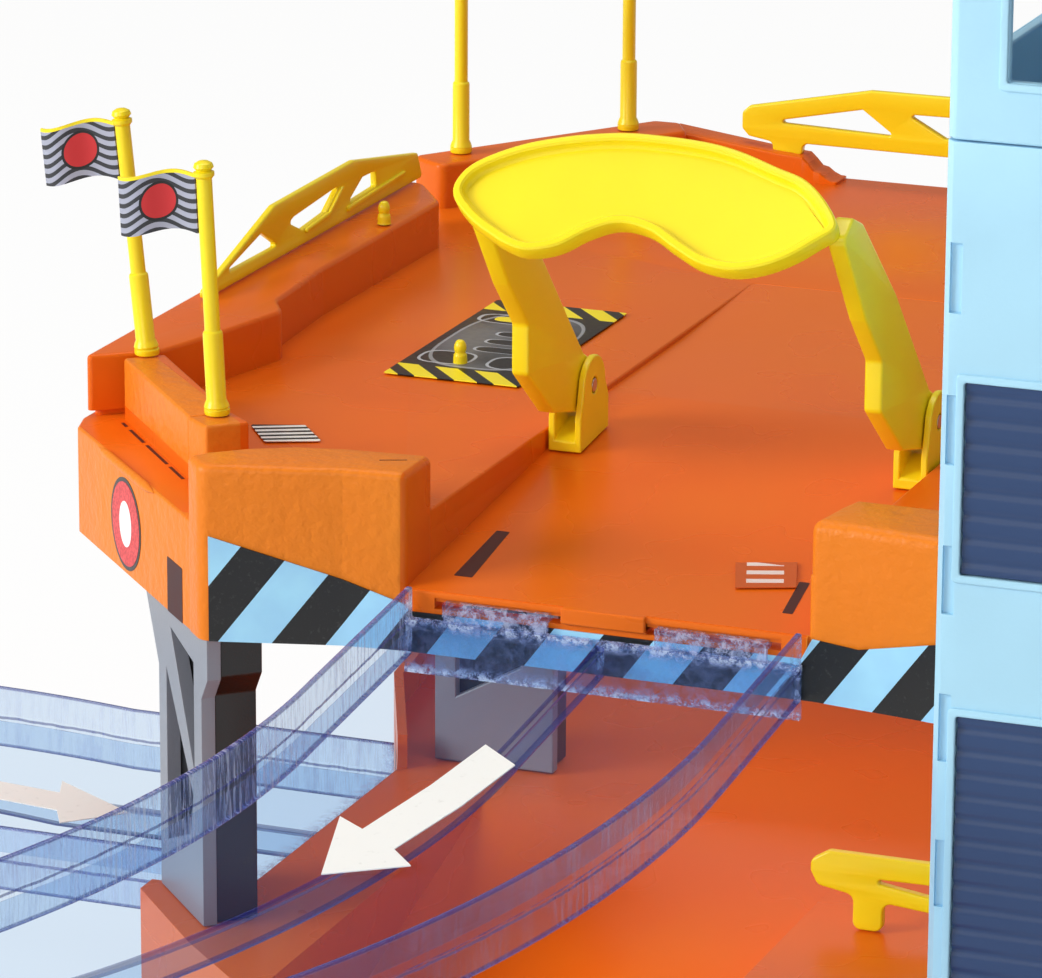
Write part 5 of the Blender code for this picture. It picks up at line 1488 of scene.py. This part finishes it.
def seen_by(finish, *kinds):
    """1 for rays of the kinds named, such as those from the camera, and 0 for the rest."""
    rays = finish.outputs("ShaderNodeLightPath", ["Is %s Ray" % kind for kind in kinds])
    seen = rays[0]
    for ray in rays[1:]:
        seen = seen.most(ray)
    return seen


def build_floor():
    """A wide pale floor that shows white to the camera and keeps the object's shadow."""
    reach, level = 14.0, -0.0002
    finish = Finish("pale_floor")
    seen = seen_by(finish, "Camera", "Glossy", "Transmission")
    glow = finish.node("ShaderNodeEmission", (), {"Color": WHITE, "Strength": 1.0})
    matt = finish.node("ShaderNodeBsdfDiffuse", (), {"Color": (0.90, 0.90, 0.91, 1.0)})
    material = finish.done(finish.node("ShaderNodeMixShader", (), {0: seen * 0.92, 1: matt,
                                                                   2: glow}))
    mesh = bpy.data.meshes.new("floor")
    mesh.from_pydata([(-reach, -reach, level), (reach, -reach, level), (reach, reach, level),
                      (-reach, reach, level)], [], [(0, 1, 2, 3)])
    mesh.materials.append(material)
    floor = bpy.data.objects.new("floor", mesh)
    bpy.context.scene.collection.objects.link(floor)


def build_sky():
    """A soft warm light from all round, which the camera sees as white."""
    world = bpy.data.worlds.new("pale_sky")
    bpy.context.scene.world = world
    sky = Finish(owner=world)
    seen = seen_by(sky, "Camera", "Transmission")
    light = sky.node("ShaderNodeBackground", (),
                     {"Color": sky.blend(seen, (1.0, 0.955, 0.90, 1.0), WHITE),
                      "Strength": 0.30 + seen * 0.70})
    sky.done(light, "ShaderNodeOutputWorld")


def build_lamps():
    """Three soft square lamps, and a small one that lights the lower deck."""
    middle = (0.0, 0.0, 0.10)
    lamps = (("key", (-1.75, -1.39, 1.05), middle, 1.10, 49.0, (0.98, 1.0, 0.90)),
             ("top", (-0.10, 0.30, 1.90), middle, 1.20, 13.5, (1.0, 0.97, 0.95)),
             ("front", (0.10, -1.85, 0.80), middle, 0.80, 7.0, (1.0, 0.99, 0.97)),
             ("between_decks", (0.105, 0.080, DECK_BOTTOM - 0.003),
              (0.105, -0.070, DECK_BOTTOM - 1.003), 0.16, 0.065, (1.0, 1.0, 1.0)))
    for name, place, target, side, power, tint in lamps:
        lamp = bpy.data.lights.new(name, "AREA")
        lamp.shape = "SQUARE"
        lamp.size = side
        lamp.energy = power
        lamp.color = tint
        item = bpy.data.objects.new(name, lamp)
        item.location = place
        item.rotation_mode = "QUATERNION"
        item.rotation_quaternion = (Vector(target) - Vector(place)).to_track_quat("-Z", "Y")
        bpy.context.scene.collection.objects.link(item)


def build_camera():
    """The camera, which looks to the left and down at the photograph's angle."""
    camera = bpy.data.cameras.new("camera")
    camera.lens = LENS
    camera.sensor_width = SENSOR
    camera.clip_start = 0.05
    camera.clip_end = 60.0
    item = bpy.data.objects.new("camera", camera)
    item.location = Vector((EYE + ORIGIN).tolist())
    item.rotation_mode = "XYZ"
    turn, down, roll = (math.radians(angle) for angle in (LOOK_TURN, LOOK_DOWN, LOOK_ROLL))
    ahead = Vector((-math.sin(turn) * math.cos(down), math.cos(turn) * math.cos(down),
                    -math.sin(down)))
    aim = ahead.to_track_quat("-Z", "Y") @ Quaternion((0.0, 0.0, 1.0), roll)
    item.rotation_euler = aim.to_euler("XYZ")
    bpy.context.scene.collection.objects.link(item)
    bpy.context.scene.camera = item


def build_stage():
    """Pale floor and sky, soft lamps and the camera."""
    build_floor()
    build_sky()
    build_lamps()
    build_camera()
    bpy.context.scene.view_settings.view_transform = "Standard"


# Operators

class GARAGE_OT_deck(bpy.types.Operator):
    """Build the upper deck's moulding"""
    bl_idname = "garage.deck"
    bl_label = "Upper deck"

    def execute(self, context):
        build_deck()
        return {"FINISHED"}


class GARAGE_OT_walls(bpy.types.Operator):
    """Build the front blocks and the low walls of the upper deck"""
    bl_idname = "garage.walls"
    bl_label = "Deck walls"

    def execute(self, context):
        build_walls()
        return {"FINISHED"}


class GARAGE_OT_lane(bpy.types.Operator):
    """Build the sunken exit lane and its lip"""
    bl_idname = "garage.lane"
    bl_label = "Exit lane"

    def execute(self, context):
        build_lane()
        build_marks()
        return {"FINISHED"}


class GARAGE_OT_lower_deck(bpy.types.Operator):
    """Build the lower deck with its exit slope"""
    bl_idname = "garage.lower_deck"
    bl_label = "Lower deck"

    def execute(self, context):
        build_lower_deck()
        return {"FINISHED"}


class GARAGE_OT_pillars(bpy.types.Operator):
    """Build the pillars between the decks"""
    bl_idname = "garage.pillars"
    bl_label = "Pillars"

    def execute(self, context):
        build_pillars()
        return {"FINISHED"}


class GARAGE_OT_tower(bpy.types.Operator):
    """Build the lift tower"""
    bl_idname = "garage.tower"
    bl_label = "Lift tower"

    def execute(self, context):
        build_tower()
        return {"FINISHED"}


class GARAGE_OT_lift(bpy.types.Operator):
    """Build the lift cabin, its rack and the crank"""
    bl_idname = "garage.lift"
    bl_label = "Lift and crank"

    def execute(self, context):
        build_lift()
        return {"FINISHED"}


class GARAGE_OT_gate(bpy.types.Operator):
    """Build the exit gate with its brackets and pins"""
    bl_idname = "garage.gate"
    bl_label = "Exit gate"

    def execute(self, context):
        build_gate()
        return {"FINISHED"}


class GARAGE_OT_ramp(bpy.types.Operator):
    """Build the clear exit ramp and its posts"""
    bl_idname = "garage.ramp"
    bl_label = "Exit ramp"

    def execute(self, context):
        build_ramp()
        return {"FINISHED"}


class GARAGE_OT_flags(bpy.types.Operator):
    """Build the poles and their flags"""
    bl_idname = "garage.flags"
    bl_label = "Poles and flags"

    def execute(self, context):
        build_flags()
        return {"FINISHED"}


class GARAGE_OT_rails(bpy.types.Operator):
    """Build the railings and the stop pegs"""
    bl_idname = "garage.rails"
    bl_label = "Railings and pegs"

    def execute(self, context):
        build_rails()
        return {"FINISHED"}


class GARAGE_OT_labels(bpy.types.Operator):
    """Build the printed labels"""
    bl_idname = "garage.labels"
    bl_label = "Labels"

    def execute(self, context):
        build_labels()
        return {"FINISHED"}


class GARAGE_OT_stage(bpy.types.Operator):
    """Build the floor, the lamps and the camera"""
    bl_idname = "garage.stage"
    bl_label = "Stage"

    def execute(self, context):
        build_stage()
        return {"FINISHED"}


STEPS = (GARAGE_OT_stage, GARAGE_OT_deck, GARAGE_OT_walls, GARAGE_OT_lane, GARAGE_OT_lower_deck,
         GARAGE_OT_pillars, GARAGE_OT_tower, GARAGE_OT_lift, GARAGE_OT_gate, GARAGE_OT_ramp,
         GARAGE_OT_flags, GARAGE_OT_rails, GARAGE_OT_labels)


class GARAGE_PT_panel(bpy.types.Panel):
    """Sizes, colours and building steps of the toy garage"""
    bl_label = "Toy Garage"
    bl_idname = "GARAGE_PT_panel"
    bl_space_type = "VIEW_3D"
    bl_region_type = "UI"
    bl_category = "Garage"

    def draw(self, context):
        settings = context.scene.toy_garage
        for group in (settings.sizes, settings.colours):
            box = self.layout.box()
            for name in group.__annotations__:
                box.prop(group, name)
        for step in STEPS:
            self.layout.operator(step.bl_idname)


CLASSES = (GarageSizes, GarageColours, GarageSettings, *STEPS, GARAGE_PT_panel)


def register():
    for item in CLASSES:
        bpy.utils.register_class(item)
    bpy.types.Scene.toy_garage = PointerProperty(type=GarageSettings)


def unregister():
    del bpy.types.Scene.toy_garage
    for item in reversed(CLASSES):
        bpy.utils.unregister_class(item)


def main():
    """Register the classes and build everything."""
    register()
    for step in STEPS:
        group, name = step.bl_idname.split(".")
        getattr(getattr(bpy.ops, group), name)()


if __name__ == "__main__":
    main()
